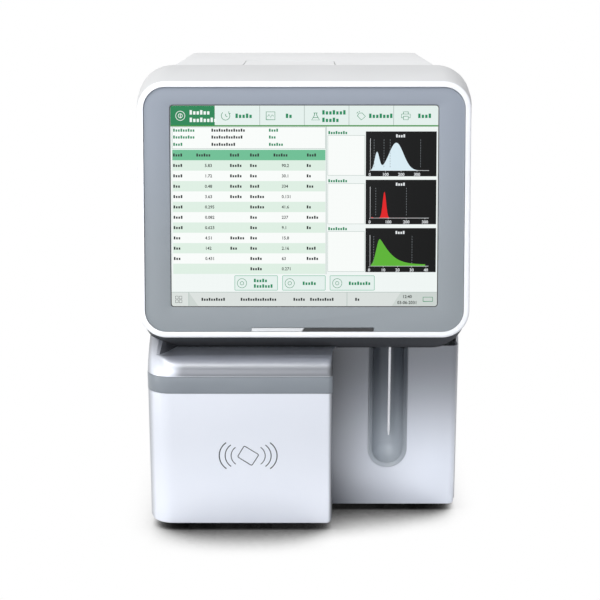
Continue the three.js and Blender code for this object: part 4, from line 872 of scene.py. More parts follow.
def head_shroud():
    shroud = shroud_skin()
    shroud.name = "head_shroud_shell"
    ease_edges(shroud, SHROUD_BEND, at(y=SHROUD_MIDDLE), steps=6)
    choose(shroud, "EDGE", at(y=SHROUD_BACK))
    extrude(0, 0, 0)
    centre = (0, SHROUD_BACK, (SHROUD_LOW + SHROUD_HIGH) / 2)
    height = SHROUD_HIGH - SHROUD_LOW
    bpy.ops.transform.resize(value=(1 - SHROUD_FLANGE / SHROUD_HALF, 1, 1 - 2 * SHROUD_FLANGE / height),
                             center_override=centre)
    object_mode()

    def on_flange(point):
        return (abs(point.x) < SHROUD_HALF - SHROUD_FLANGE + NEAR
                and abs(point.z - centre[2]) < height / 2 - SHROUD_FLANGE + NEAR)

    def on_rear_edge(point):
        across = abs(point.x) > SHROUD_HALF - SHROUD_CORNER * SHROUD_CORNER_SHARE
        upward = abs(point.z - centre[2]) > height / 2 - SHROUD_CORNER * SHROUD_CORNER_SHARE
        return at(y=SHROUD_BACK)(point) and (across or upward) and not on_flange(point)

    ease_edges(shroud, SHROUD_EDGE, on_rear_edge)
    face_out(shroud)
    walled(shroud)
    carve(shroud, rod("needle_pass", "z", NEEDLE_HOLE, SKIRT, NEEDLE_TOP, PROBE))
    settle(shroud, "head_shroud", material=SHROUD_ABS)


# Lower front covers

def eased_share(value):
    """0 below 0, 1 above 1 and a soft step between."""
    value = min(max(value, 0), 1)
    return value * value * (3 - 2 * value)


def bulge_outline(z, inset=0.0, rise=0.0, depth=0.0):
    """The left cover's plan: the pillar, what lies back beside it, and the right wall."""
    lean = rise / PILLAR_RISE
    left = -FRONT_HALF + inset
    right = BULGE_RIGHT - inset
    front = BULGE_FRONT + inset + PILLAR_REACH * lean ** 2
    recessed = max(BULGE_FRONT + inset + depth, front)
    corner = BULGE_CORNER - inset + PILLAR_GROWTH * lean
    points = arc((left + corner, front + corner), corner, 180, 270, CORNER_STEPS)
    points += [(left + corner + PILLAR_BLEND * step / CORNER_STEPS, front) for step in range(1, CORNER_STEPS)]
    points = [(x, y + max(recessed - y, 0) * eased_share((x - left - PILLAR_WIDTH) / PILLAR_BLEND))
              for x, y in points]
    points += arc((right - BULGE_RIGHT_CORNER, recessed + BULGE_RIGHT_CORNER), BULGE_RIGHT_CORNER, 270, 360,
                  CORNER_STEPS // 2)
    return filled([(left, COVER_BACK), *points, (right, COVER_BACK)], z, facing="top")


def cove_profile():
    """How far the cover has risen and gone back: over a round edge, almost level, then up the pillar."""
    turns = [TAU / 4 * COVE_LEVEL_SHARE * step / COVE_STEPS for step in range(COVE_STEPS + 1)]
    places = [(COVE_ROUND * math.sin(turn), COVE_ROUND * (1 - math.cos(turn))) for turn in turns]
    rise, depth = places[-1]
    for step in range(1, COVE_STEPS + 1):
        share = eased_share(step / COVE_STEPS)
        places.append((rise + (COVE_RISE - rise) * share, depth + (COVE_REACH - depth) * share))
    climb = (PILLAR_RISE - COVE_RISE) / PILLAR_STEPS
    return places + [(COVE_RISE + climb * step, COVE_REACH) for step in range(1, PILLAR_STEPS + 1)]


def cove_flare():
    """The solid corner that spreads the cover's right wall out to the panel under the head."""
    outlines = []
    back = PANEL_FRONT - FIT
    for rise, depth in cove_profile():
        front = BULGE_FRONT + depth
        if back - front < FIT:
            break
        right = BULGE_RIGHT + COVE_FLARE * (depth / COVE_REACH) ** COVE_FLARE_POWER
        outline = flat("flare", "top", (BULGE_RIGHT - 2 * COVER_WALL, front), (right, back),
                       COVE_START + rise)
        round_corners(outline, min(BULGE_RIGHT_CORNER, (back - front) / 2), CORNER_STEPS // 2,
                      at(x=right, y=front))
        outlines.append(outline)
    return closed(bridged(outlines))


def band_strip(proud, depth, spare=0.0):
    """A strip round the left cover's plan, let into it by a depth."""
    strip = bridged([bulge_outline(BAND_BOTTOM - spare, -proud), bulge_outline(BAND_TOP + spare, -proud)],
                    "trim_band_strip")
    if not spare:
        drop_faces(strip, at(y=COVER_BACK))
    return walled(strip, depth + proud)


def front_left_cover():
    cover = bridged([
        bulge_outline(SKIRT + LIP_REACH / 2, LIP_REACH),
        bulge_outline(SKIRT, LOWER_ROUND),
        bulge_outline(SKIRT + LOWER_ROUND * LOWER_ROUND_SHARE, LOWER_ROUND * LOWER_ROUND_SHARE),
        bulge_outline(SKIRT + LOWER_ROUND, 0),
        *[bulge_outline(COVE_START + rise, 0, rise, depth) for rise, depth in cove_profile()],
    ], "front_left_shell")
    drop_faces(cover, at(y=COVER_BACK))
    walled(cover)
    carve(cover, cove_flare(), operation="UNION")
    carve(cover, shroud_space(), band_strip(BAND_PROUD, BAND_DEPTH + FIT, BAND_JOINT))
    settle(cover, "front_left_cover")


def trim_band():
    """The grey band let into the left cover's three walls."""
    band = band_strip(BAND_PROUD, BAND_DEPTH)
    behind = box("behind_panel", (0, PANEL_FRONT - FIT, 0), (FRONT_HALF, COVER_BACK + LIP_REACH, BODY_TOP))
    carve(band, behind)
    eased(band, BAND_EASE)
    settle(band, "trim_band")


def channel_opening():
    """An upright slot with a round lower end, cut from the right panel in front of the channel."""
    opening = flat("opening", "front", (CHANNEL_X - CHANNEL_RADIUS, CHANNEL_BOTTOM),
                   (CHANNEL_X + CHANNEL_RADIUS, CHANNEL_TOP), PANEL_FRONT - LIP_REACH)
    round_corners(opening, CHANNEL_RADIUS - NEAR / 3, 2 * CORNER_STEPS, at(z=CHANNEL_BOTTOM))
    thicken(opening, 0, 2 * LIP_REACH, 0)
    return opening


def panel_outline(z, inset=0.0):
    left = BULGE_RIGHT + FIT
    right = FRONT_HALF - inset
    front = PANEL_FRONT + inset
    outline = flat("panel", "top", (left, front), (right, COVER_BACK), z)
    round_corners(outline, PANEL_CORNER - inset / 2, CORNER_STEPS, at(x=right, y=front))
    return outline


def front_right_panel():
    panel = bridged([
        panel_outline(SKIRT + LIP_REACH / 2, LIP_REACH * PANEL_LIP_SHARE),
        panel_outline(SKIRT, LOWER_ROUND / 2),
        panel_outline(SKIRT + LOWER_ROUND / 6, LOWER_ROUND / 6),
        panel_outline(SKIRT + LOWER_ROUND / 2, 0),
        panel_outline(UNDER_HEAD),
    ], "front_right_shell")
    drop_faces(panel, at(y=COVER_BACK))
    walled(panel)
    carve(panel, channel_opening(), shroud_space())
    settle(panel, "front_right_panel", material=PANEL_ABS)


def sample_needle():
    needle = rod("sample_needle_tube", "z", NEEDLE_RADIUS, NEEDLE_TIP + NEEDLE_CONE, NEEDLE_TOP, PROBE,
                 sides=32)
    choose(needle, "FACE", at(z=NEEDLE_TIP + NEEDLE_CONE))
    extrude(0, 0, -NEEDLE_CONE)
    bpy.ops.transform.resize(value=(NEEDLE_TIP_SHARE, NEEDLE_TIP_SHARE, 1),
                             center_override=(*PROBE, NEEDLE_TIP))
    object_mode()
    settle(needle, "sample_needle", material=NEEDLE_COAT)


# Body covers

def top_cover():
    cover = flat("top_cover_shell", "front", (-SIDE_HALF, TOP_LOW), (SIDE_HALF, SHOULDER_BOTTOM), TOP_FRONT)
    choose(cover, "EDGE", at(z=SHOULDER_BOTTOM))
    extrude(0, 0, BODY_TOP - SHOULDER_BOTTOM)
    bpy.ops.transform.resize(value=(TOP_FLAT_HALF / SIDE_HALF, 1, 1),
                             center_override=(0, TOP_FRONT, BODY_TOP))
    choose(cover, "FACE")
    bpy.ops.mesh.dissolve_faces()
    object_mode()
    slope = math.atan2(BODY_TOP - SHOULDER_BOTTOM, SIDE_HALF - TOP_FLAT_HALF)
    round_corners(cover, SHOULDER_ROUND * math.tan(slope / 2), SHOULDER_STEPS, at(z=BODY_TOP))
    round_corners(cover, SHOULDER_ROUND * math.tan((TAU / 4 - slope) / 2), SHOULDER_STEPS,
                  at(z=SHOULDER_BOTTOM))
    thicken(cover, 0, TOP_BACK - TOP_FRONT, 0)
    for test in (at(z=TOP_LOW), at(y=TOP_FRONT), at(y=TOP_BACK)):
        drop_faces(cover, test)
    walled(cover)
    low, high = limits("recorder_lid")
    opening = box("opening", (low.x - EASE, LID_OPENING[0], BODY_TOP - 2 * COVER_WALL),
                  (high.x + EASE, LID_OPENING[1], BODY_TOP + COVER_WALL))
    carve(cover, opening)
    eased(cover, EDGE_EASE)
    settle(cover, "top_cover")


def foot(node):
    """A rubber foot that widens upwards, with a hollow worn ring in its sole."""
    low, high = limits(node)
    centre = ((low.x + high.x) / 2, (low.y + high.y) / 2 - SHIFT)
    radius = (high.x - low.x) / 2
    piece = rod(f"{node}_pad", "z", radius - FOOT_TAPER, low.z, high.z, centre, sides=64,
                end_radius=radius)
    choose(piece, "FACE", at(z=low.z))
    bpy.ops.mesh.inset(thickness=FOOT_TAPER)
    bpy.ops.mesh.inset(thickness=FOOT_TAPER)
    extrude(0, 0, FOOT_TAPER / 2)
    object_mode()
    eased(piece, FOOT_EASE, steps=3)
    settle(piece, node)


def screw_head(x, z):
    """A pan-head screw in the rear panel, with a cross recess."""
    face = BODY_BACK + SCREW_HEIGHT
    head = rod("screw", "y", SCREW_RADIUS, BODY_BACK + NEAR, face, (x, z), sides=32)
    ease_edges(head, SCREW_HEIGHT * SCREW_ROUND_SHARE, at(y=face))
    long, short = (SCREW_RADIUS * share for share in SCREW_SLOT_SHARES)
    for across, up in ((long, short), (short, long)):
        carve(head, box("slot", (x - across, face - SCREW_HEIGHT / 2, z - up),
                        (x + across, face + SCREW_HEIGHT, z + up)))
    return head


def rear_screws():
    low, high = limits("rear_panel")
    left, right = low.x + SCREW_INSET, high.x - SCREW_INSET
    places = [(x, z) for x in (left, right) for z in (low.z + SCREW_INSET, *SCREW_ROWS)]
    places += [(x, BODY_TOP - SCREW_INSET) for x in SCREW_COLUMNS]
    entry_low, entry_high = limits("mains_entry")
    middle = (entry_low.z + entry_high.z) / 2
    places += [(entry_low.x - SCREW_RADIUS * 2, middle), (entry_high.x + SCREW_RADIUS * 2, middle)]
    settle(joined([screw_head(x, z) for x, z in places], "rear_panel_screws"), slot="steel")


def fan_guard():
    """Plated wire rings over the fan's outlet, on two crossing bars."""
    low, high = limits("fan_guard")
    x, z = (low.x + high.x) / 2, (low.z + high.z) / 2
    depth = (low.y + high.y) / 2 - SHIFT
    pieces = []
    for step in range(1, GUARD_RINGS + 1):
        pieces.append(made("ring", bpy.ops.mesh.primitive_torus_add, location=(x, depth, z),
                           rotation=(TAU / 4, 0, 0), major_radius=FAN_BORE * step / GUARD_RINGS,
                           minor_radius=GUARD_WIRE, major_segments=GUARD_STEPS[0],
                           minor_segments=GUARD_STEPS[1]))
        bpy.ops.object.transform_apply()
    reach = (high.x - low.x) / 2 * math.sqrt(2) - GUARD_WIRE
    for turn in (TAU / 8, -TAU / 8):
        bar = rod("bar", "x", GUARD_WIRE * GUARD_BAR_SHARE, x - reach, x + reach, (depth, z), sides=16)
        choose(bar, "FACE")
        bpy.ops.transform.rotate(value=turn, orient_axis="Y", center_override=(x, depth, z))
        object_mode()
        pieces.append(bar)
    settle(joined(pieces, "fan_guard_wires"), "fan_guard")


# What the lit screen shows, placed in shares of its width from the left and of its height from the top;
# the last value of a word is the number of its letters

PAGE_DEPTH = 0.72  # behind the bezel's face
LAYER_STEP = 0.08  # by which each layer of the picture lies in front of the one below
SMALL_TEXT = 2.8
BUTTON_TEXT = 3.22
TAB_TEXT = 4
LINE = 0.6
THIN_LINE = 0.5
AXIS_LINE = 0.35
RING_STEPS = 28
LETTER_SHARES = (0.54, 0.8, 0.74)  # a letter block's width, pitch and lesser height, of its full height
TALL_EVERY = 3
DIGIT_SIZE = 1.42  # a digit's size in the font, for a height of one
DIGIT_WEIGHT = 0.08

# Tabs along the top
TAB_COUNT = 6
TAB_GAP_SHARE = 0.001
TAB_ROW_SHARE = 0.05
TAB_FOOT_SHARE = 0.096
TAB_LINE_SHARE = 0.103
ACTIVE_ICON_SHARE = 0.037
ICON_SHARES = (0.206, 0.374, 0.542, 0.711, 0.879)
ACTIVE_WORD_SHARES = ((0.072, 0.033, 6), (0.072, 0.07, 8))
TAB_WORD_SHARES = ((0.243, 0.05, 5), (0.431, 0.05, 2), (0.742, 0.05, 7), (0.925, 0.05, 4),
                   (0.567, 0.033, 7), (0.567, 0.07, 5))

# The table of results and the labels over it
TABLE_LEFT_SHARE = 0.006
TABLE_RIGHT_SHARE = 0.579
TABLE_TOP_SHARE = 0.27
TABLE_FOOT_SHARE = 0.838
HEADER_TOP_SHARE = 0.218
HEADER_WORD_SHARES = ((0.009, 4), (0.096, 6), (0.222, 4), (0.297, 4), (0.385, 6), (0.51, 4))
LABEL_BOX_SHARES = (TABLE_LEFT_SHARE, 0.106, TABLE_RIGHT_SHARE, 0.212)
LABEL_ROW_SHARES = (0.121, 0.155, 0.191)
LABEL_COLUMN_SHARES = (0.01, 0.153, 0.368)
LABEL_LETTERS = ((9, 14, 4), (9, 13, 3), (4, 10, 6))
ROWS = 11
ROW_SHARE = (TABLE_FOOT_SHARE - TABLE_TOP_SHARE) / ROWS
NAME_LETTERS = ((4, 4, 3, 4, 4, 4, 4, 3, 3, 3, 0), (3, 3, 4, 6, 6, 3, 3, 3, 3, 5, 5))
UNIT_LETTERS = ((5, 5, 5, 5, 0, 0, 0, 6, 3, 0, 0), (2, 2, 3, 0, 2, 5, 2, 0, 4, 5, 0))
READINGS = (("5.83", "1.72", "0.48", "3.63", "0.295", "0.082", "0.623", "4.51", "142", "0.431", ""),
            ("90.2", "30.1", "334", "0.131", "41.6", "237", "9.1", "15.8", "2.16", "63", "0.271"))
COLUMN_SHARES = ((0.009, 0.127, 0.222), (0.297, 0.415, 0.509))

# Boxes, charts, buttons and the bottom bar; boxes give their left, top, right and foot
BOX_SHARES = [(0.588, top, 0.726, foot) for top, foot in ((0.147, 0.345), (0.386, 0.587), (0.625, 0.826))]
PANEL_SHARES = [(0.73, top, 0.995, foot) for top, foot in ((0.127, 0.35), (0.367, 0.589), (0.608, 0.829))]
BUTTON_SHARES = [(left, 0.847, right, 0.92)
                 for left, right in ((0.238, 0.399), (0.418, 0.579), (0.597, 0.764))]
BUTTON_ROW_SHARE = 0.885
BUTTON_ICON_SHARE = 0.027  # in from a button's left
BUTTON_WORD_SHARES = ((0.31, 0.871, 5), (0.31, 0.899, 7), (0.494, 0.885, 5), (0.668, 0.885, 8))
BUTTON_CORNER = 0.8
DIVIDER_SHARES = (0.582, 0.84)  # from the left, and its foot
BOX_WORD_SHARES = (0.59, 0.014, 8)  # from the left, over a box, and its letters
BAR_TOP_SHARE = 0.93
BAR_ROW_SHARE = 0.966
BAR_STOP_SHARES = (0.064, 0.661)
BAR_WORD_SHARES = ((0.112, 10), (0.26, 15), (0.459, 5), (0.522, 10), (0.692, 2))
WEDGE_SHARES = ((0.064, BAR_TOP_SHARE), (0.1, 1), (0.064, 1))
CORNER_SHARES = ((0.864, BAR_TOP_SHARE), (1, BAR_TOP_SHARE), (1, 1), (0.83, 1))
CLOCK_SHARES = (0.888, 0.952, 0.982)  # from the left, and its two rows
CLOCK_DIGITS = ("12:40", "03-06-2031")
SQUARE_SHARES = ((0.014, 0.028), (0.95, 0.969), (0.01, 0.014))  # lefts, tops, and width and height
BASELINE_SHARES = (0.321, 0.558, 0.799)
AXIS_SHARES = (0.747, 0.967, 0.035)  # left, right and how far under a panel's top
CHART_WORD_SHARES = (0.843, 0.022, 4)  # from the left, under a panel's top, and its letters
SCALE_NUMBER_SHARES = (
    ((0.745, "0"), (0.804, "100"), (0.863, "200"), (0.922, "300")),
    ((0.745, "0"), (0.815, "100"), (0.883, "200"), (0.953, "300")),
    ((0.744, "0"), (0.797, "10"), (0.851, "20"), (0.904, "30"), (0.958, "40")),
)
SCALE_DROP_SHARE = 0.019
TICK_SHARES = (0.0006, 0.006)  # half width and height
GUIDE_SHARES = ((0.761, 0.798, 0.821, 0.935), (0.768, 0.883), (0.761, 0.905))
DASH_SHARES = (0.0008, 0.007, 0.013, 0.04, 0.045)  # half width, height, pitch, start and what is left free
CURVE_SPAN_SHARES = ((0.75, 0.93), (0.75, 0.93), (0.75, 0.955))
CURVE_COLOURS = ("#dbeef6", "#e3171b", "#5cb531")
CURVE_LEAST_SHARE = 0.001
PEAK_SHARES = (  # each peak's middle, width and height
    ((0.772, 0.012, 0.09), (0.844, 0.038, 0.138)),
    ((0.8005, 0.0088, 0.134), (0.755, 0.004, 0.005)),
    ((0.784, 0.019, 0.137),),
)
TAILED = 2  # the curve with a long tail past its top
TAIL_SHARES = (0.009, 0.128, 0.046)  # where the tail ends, from how high it falls and over what width
TAIL_POWER = 1.25


def at_share(u, v):
    return SCREEN_WIDTH * (u - 0.5), SCREEN_HEIGHT * (0.5 - v)


def layer_depth(layer):
    return PAGE_DEPTH - layer * LAYER_STEP


def tile(u0, v0, u1, v1, layer=1):
    left, top = at_share(u0, v0)
    right, bottom = at_share(u1, v1)
    return flat("tile", "front", (left, bottom), (right, top), layer_depth(layer))


def repeated(piece, count, x, z=0):
    """A piece copied in even steps."""
    return apply(piece, "ARRAY", count=count, use_relative_offset=False, use_constant_offset=True,
                 constant_offset_displace=(x, 0, z))


def word(u, v, letters, layer=2, height=SMALL_TEXT):
    """A run of plain blocks where a word would stand, every third one taller, centred on its row."""
    left, middle = at_share(u, v)
    width, pitch, lesser = (height * share for share in LETTER_SHARES)
    foot = middle - height / 2
    blocks = []
    for top, count, step in ((lesser, letters, 1), (height, math.ceil(letters / TALL_EVERY), TALL_EVERY)):
        block = flat("block", "front", (left, foot), (left + width, foot + top), layer_depth(layer))
        blocks.append(repeated(block, count, pitch * step))
    return joined(blocks, "word")


def words(places, height):
    return [word(*place, height=height) for place in places]


def number(digits, u, v, layer=2, align="CENTER"):
    """Plain digits, centred on their row."""
    x, z = at_share(u, v)
    text = made("number", bpy.ops.object.text_add, rotation=(TAU / 4, 0, 0),
                location=(x, layer_depth(layer), z - SMALL_TEXT / 2)).data
    text.body = digits
    text.size = SMALL_TEXT * DIGIT_SIZE
    text.offset = DIGIT_WEIGHT
    text.align_x = align
    text.resolution_u = 2
    bpy.ops.object.convert(target="MESH")
    bpy.ops.object.transform_apply()
    return bpy.context.object


def line(points, layer=2, width=LINE):
    return stroke([at_share(u, v) for u, v in points], layer_depth(layer), width)


def frame_line(u0, v0, u1, v1, layer=2, width=LINE, corner=0.0):
    corners = [at_share(u, v) for u, v in ((u0, v0), (u1, v0), (u1, v1), (u0, v1))]
    return outlined(corners, layer_depth(layer), width, corner)


def icon(u, v, lines, layer=2, width=LINE):
    """Lines drawn in millimetres about a place on the screen."""
    x, z = at_share(u, v)
    return [stroke([(x + a, z + b) for a, b in points], layer_depth(layer), width) for points in lines]


def ring(radius, start=90, end=450):
    return arc((0, 0), radius, start, end, RING_STEPS)


def oblong(across, up):
    return [(-across, -up), (-across, up), (across, up), (across, -up), (-across, -up)]


# Drawn in millimetres: a clock, a chart, a flask, a tag and a printer on the tabs that aren't active
TAB_ICONS = (
    [ring(3.9, 130, 400), [(3.0, 4.0), (3.0, 2.2), (4.6, 2.0)], [(0, 1.6), (0, 0), (1.6, -0.8)]],
    [oblong(4, 3.6), [(-2.8, -0.6), (-1.4, 1.2), (0, -1.6), (1.4, 1.0), (2.8, -0.4)]],
    [[(-1, 2.6), (-1, 0.6), (-3.6, -3.8), (3.6, -3.8), (1, 0.6), (1, 2.6)], [(-1.8, 2.6), (1.8, 2.6)],
     [(-2.2, -1.6), (2.2, -1.6)]],
    [[(-3.2, 0), (0.4, -3.8), (4.2, -0.6), (1.2, 2.6), (-1.6, 2.4), (-3.2, 0)], [(-3.8, 2.2), (-2.6, 3.6)],
     [(-1.8, 3.4), (-1.0, 4.2)]],
    [[(-2.2, 1.6), (-2.2, 3.6), (2.2, 3.6), (2.2, 1.6)],
     [(-2.2, -1.8), (-4, -1.8), (-4, 1.6), (4, 1.6), (4, -1.8), (2.2, -1.8)],
     [(-2.2, -0.4), (2.2, -0.4), (2.2, -3.6), (-2.2, -3.6), (-2.2, -0.4)]],
)
ACTIVE_ICON = [ring(4.2), ring(1.9), [(0, -1.9), (0, 1.9)]]
BUTTON_ICON = [ring(4.3), ring(1.6)]
CELL_ICON = [oblong(4.4, 2)]


def shown(name, colour, flats=(), lines=()):
    """Joins what the screen shows in one colour into one thin piece."""
    pieces = list(lines)
    if flats:
        sheet = joined(list(flats), name)
        choose(sheet, "FACE")
        extrude(0, INK, 0)
        object_mode()
        pieces.insert(0, sheet)
    piece = joined(pieces, name)
    choose(piece, "FACE")
    bpy.ops.mesh.normals_make_consistent(inside=False)
    object_mode()
    settle(piece, slot="screen_glass", material=lit(f"{name}_light", colour), tilted=True)


def tiles(boxes):
    return [tile(*box) for box in boxes]


def rows_of(parity):
    return tiles((TABLE_LEFT_SHARE, TABLE_TOP_SHARE + row * ROW_SHARE, TABLE_RIGHT_SHARE,
                  TABLE_TOP_SHARE + (row + 1) * ROW_SHARE) for row in range(parity, ROWS, 2))


def table_words():
    """The dark dashes and digits of the result table."""
    pieces = []
    for side, (name_at, value_at, unit_at) in enumerate(COLUMN_SHARES):
        for row in range(ROWS):
            middle = TABLE_TOP_SHARE + (row + 0.5) * ROW_SHARE
            for place, letters in ((name_at, NAME_LETTERS), (unit_at, UNIT_LETTERS)):
                if letters[side][row]:
                    pieces.append(word(place, middle, letters[side][row]))
            if READINGS[side][row]:
                pieces.append(number(READINGS[side][row], value_at, middle, align="LEFT"))
    header = (HEADER_TOP_SHARE + TABLE_TOP_SHARE) / 2
    return pieces + [word(u, header, letters) for u, letters in HEADER_WORD_SHARES]


def curve_height(index, u):
    """A curve of one or two bell-shaped peaks."""
    peaks = PEAK_SHARES[index]
    past_top = u - peaks[0][0]
    if index == TAILED and past_top >= 0:
        floor, height, width = TAIL_SHARES
        return floor + height * math.exp(-(past_top / width) ** TAIL_POWER)
    return sum(height * math.exp(-((u - middle) / width) ** 2) for middle, width, height in peaks)


def curve_shape(index, steps=56):
    """The filled area under a curve."""
    low, high = CURVE_SPAN_SHARES[index]
    baseline = BASELINE_SHARES[index]
    places = [low + (high - low) * step / steps for step in range(steps + 1)]
    top = [at_share(u, baseline - max(curve_height(index, u), CURVE_LEAST_SHARE)) for u in places]
    return filled([at_share(low, baseline), *top, at_share(high, baseline)], layer_depth(2))


def page_and_tabs():
    shown("screen_page", "#f2f8f6", [window_outline("screen_page", WINDOW_MARGIN - FIT, PAGE_DEPTH)])
    stops = [step / TAB_COUNT for step in range(TAB_COUNT + 1)]
    first, *others = [(left + TAB_GAP_SHARE, 0, right - TAB_GAP_SHARE, TAB_FOOT_SHARE)
                      for left, right in zip(stops, stops[1:])]
    shown("screen_active_tab", "#17834f", [tile(0, *first[1:])])
    shown("screen_tabs", "#e6f2ee", tiles(others + BUTTON_SHARES))
    shown("screen_green_line", "#3f9142", [tile(0, TAB_FOOT_SHARE, 1, TAB_LINE_SHARE)])


def table_boxes_and_bar():
    boxes = [LABEL_BOX_SHARES, *BOX_SHARES]
    shown("screen_table_header", "#6cbf94",
          [tile(TABLE_LEFT_SHARE, HEADER_TOP_SHARE, TABLE_RIGHT_SHARE, TABLE_TOP_SHARE)])
    shown("screen_mint_rows", "#dff0e4", rows_of(0))
    shown("screen_white_rows", "#fafdfb", rows_of(1) + tiles(boxes))
    shown("screen_bottom_bar", "#dce2df", [tile(0, BAR_TOP_SHARE, 1, 1)])
    shown("screen_bar_shades", "#ced6d2", [filled([at_share(u, v) for u, v in shares], layer_depth(2))
                                           for shares in (WEDGE_SHARES, CORNER_SHARES)])
    shown("screen_panels", "#040505", tiles(PANEL_SHARES))
    shown("screen_box_lines", "#b4c3bd", lines=[
        *[frame_line(*place) for place in boxes],
        line([(0, BAR_TOP_SHARE), (1, BAR_TOP_SHARE)]),
        line([(DIVIDER_SHARES[0], TAB_LINE_SHARE), DIVIDER_SHARES]),
        *[line([(u, BAR_TOP_SHARE), (u, 1)], 3) for u in BAR_STOP_SHARES],
        *[line([(step / TAB_COUNT, 0), (step / TAB_COUNT, TAB_FOOT_SHARE)]) for step in range(2, TAB_COUNT)]])
    shown("screen_button_lines", "#7dbfa3",
          lines=[frame_line(*place, corner=BUTTON_CORNER) for place in BUTTON_SHARES])


def marks():
    shown("screen_active_marks", "#f4fbf8", words(ACTIVE_WORD_SHARES, TAB_TEXT),
          icon(ACTIVE_ICON_SHARE, TAB_ROW_SHARE, ACTIVE_ICON))
    green_lines = []
    for u, lines in zip(ICON_SHARES, TAB_ICONS):
        green_lines += icon(u, TAB_ROW_SHARE, lines)
    for left, *_ in BUTTON_SHARES:
        green_lines += icon(left + BUTTON_ICON_SHARE, BUTTON_ROW_SHARE, BUTTON_ICON, width=THIN_LINE)
    green_lines += icon(BAR_ROW_SHARE, BAR_ROW_SHARE, CELL_ICON, 3)
    green_words = words(TAB_WORD_SHARES, TAB_TEXT) + words(BUTTON_WORD_SHARES, BUTTON_TEXT)
    dark = table_words()
    for v, letters in zip(LABEL_ROW_SHARES, LABEL_LETTERS):
        first, second, third = (word(u, v, count) for u, count in zip(LABEL_COLUMN_SHARES, letters))
        green_words += [first, third]
        dark.append(second)
    across, over, letters = BOX_WORD_SHARES
    green_words += [word(across, top - over, letters) for _, top, _, _ in BOX_SHARES]
    shown("screen_green_marks", "#1f8a5c", green_words, green_lines)
    dark += [word(u, BAR_ROW_SHARE, letters, 3) for u, letters in BAR_WORD_SHARES]
    across, *rows = CLOCK_SHARES
    dark += [number(digits, across, v, 3) for digits, v in zip(CLOCK_DIGITS, rows)]
    lefts, tops, (width, height) = SQUARE_SHARES
    squares = [frame_line(u, v, u + width, v + height, 3, THIN_LINE) for u in lefts for v in tops]
    shown("screen_dark_marks", "#29302e", dark, squares)


def charts():
    left, right, under_top = AXIS_SHARES
    half, height = TICK_SHARES
    across, under, letters = CHART_WORD_SHARES
    panel_words = [word(across, top + under, letters) for _, top, _, _ in PANEL_SHARES]
    panel_lines = []
    for (_, top, _, _), base, numbers in zip(PANEL_SHARES, BASELINE_SHARES, SCALE_NUMBER_SHARES):
        panel_lines.append(line([(left, top + under_top), (left, base), (right, base)], 3, AXIS_LINE))
        panel_words += [number(digits, u, base + SCALE_DROP_SHARE) for u, digits in numbers]
        panel_words += [tile(u - half, base, u + half, base + height, 2) for u, _ in numbers]
    shown("screen_panel_marks", "#e6eaec", panel_words, panel_lines)
    half, height, pitch, start, free = DASH_SHARES
    dashes = []
    for (_, top, _, _), base, guides in zip(PANEL_SHARES, BASELINE_SHARES, GUIDE_SHARES):
        for u in guides:
            dash = tile(u - half, top + start, u + half, top + start + height, 3)
            dashes.append(repeated(dash, int((base - top - free) / pitch), 0, -pitch * SCREEN_HEIGHT))
    shown("screen_guide_dashes", "#7c8286", dashes)
    for index, colour in enumerate(CURVE_COLOURS):
        shown(f"screen_curve_{index + 1}", colour, [curve_shape(index)])


def screen_picture():
    page_and_tabs()
    table_boxes_and_bar()
    marks()
    charts()


# Card reader's mark on the left cover: three waves each side of a tilted card

MARK = (-54, 77)
WAVES = 3
MARK_LINE = 1.01
MARK_LINE_GROWTH = 0.12  # of each next wave's line
CARD_CORNER = 1.4
WAVE_REACH = (16.4, 5.7)  # of the innermost wave, and how much further each next one reaches
WAVE_RADIUS = (10.6, 2.9)
WAVE_HALF_ANGLE = 54
CARD = ((-3.7, 10.1), (10.3, 1.0), (3.4, -10.1), (-10.3, -1.0))


def card_mark():
    depth = BULGE_FRONT - INK
    pieces = []
    for step in range(WAVES):
        reach = WAVE_REACH[0] + WAVE_REACH[1] * step
        radius = WAVE_RADIUS[0] + WAVE_RADIUS[1] * step
        for way, middle in ((1, 0), (-1, 180)):
            centre = (MARK[0] + way * (reach - radius), MARK[1])
            points = arc(centre, radius, middle - WAVE_HALF_ANGLE, middle + WAVE_HALF_ANGLE)
            pieces.append(stroke(points, depth, MARK_LINE + MARK_LINE_GROWTH * step))
    card = [(MARK[0] + x, MARK[1] + z) for x, z in CARD]
    pieces.append(outlined(card, depth, MARK_LINE, CARD_CORNER))
    settle(joined(pieces, "card_reader_mark"), slot="dark_plastic", material=PRINT_INK)


head_rim()
head_bezel()
screen_surround()
screen_picture()
head_shroud()
front_left_cover()
trim_band()
front_right_panel()
sample_needle()
card_mark()
top_cover()
rear_screws()
fan_guard()
for corner_name in ("front_left", "front_right", "rear_left", "rear_right"):
    foot(f"foot_{corner_name}")
for node_name in ("left_side_panel", "right_side_panel", "rear_panel", "recorder_lid", "fan_frame",
                  "fan_rotor", "mains_entry", "power_rocker", "port_plate"):
    softened(node_name)
softened("probe_channel", CHANNEL_ABS, width=0.1, whole=False)
softened("status_light", width=0.2)
softened("status_window", width=0.2)

THREADED = ("lift_screw", "syringe_screw")
for name, node in frame["nodes"].items():
    if not node.hide_render:
        node.data.materials.clear()
        node.data.materials.append(THREAD if name in THREADED else FINISHES[SLOT_OF[name]])


# Studio

WORLD_LIGHT = 0.27
WORLD_TINT = "#e4e9ff"
FLOOR_BOUNCE = "#cfcfcf"  # the floor as light meets it, against which the eye sees it white
SHADOW_REACH = 0.085  # how far round the feet the floor darkens, in metres
SHADOW_LEAN = (0, 0.8, 0.6)  # the floor looks towards the machine, so it darkens most in front
SHADOW_SHARES = (0.26, 0.74)  # of open sky, at which the floor is black and white
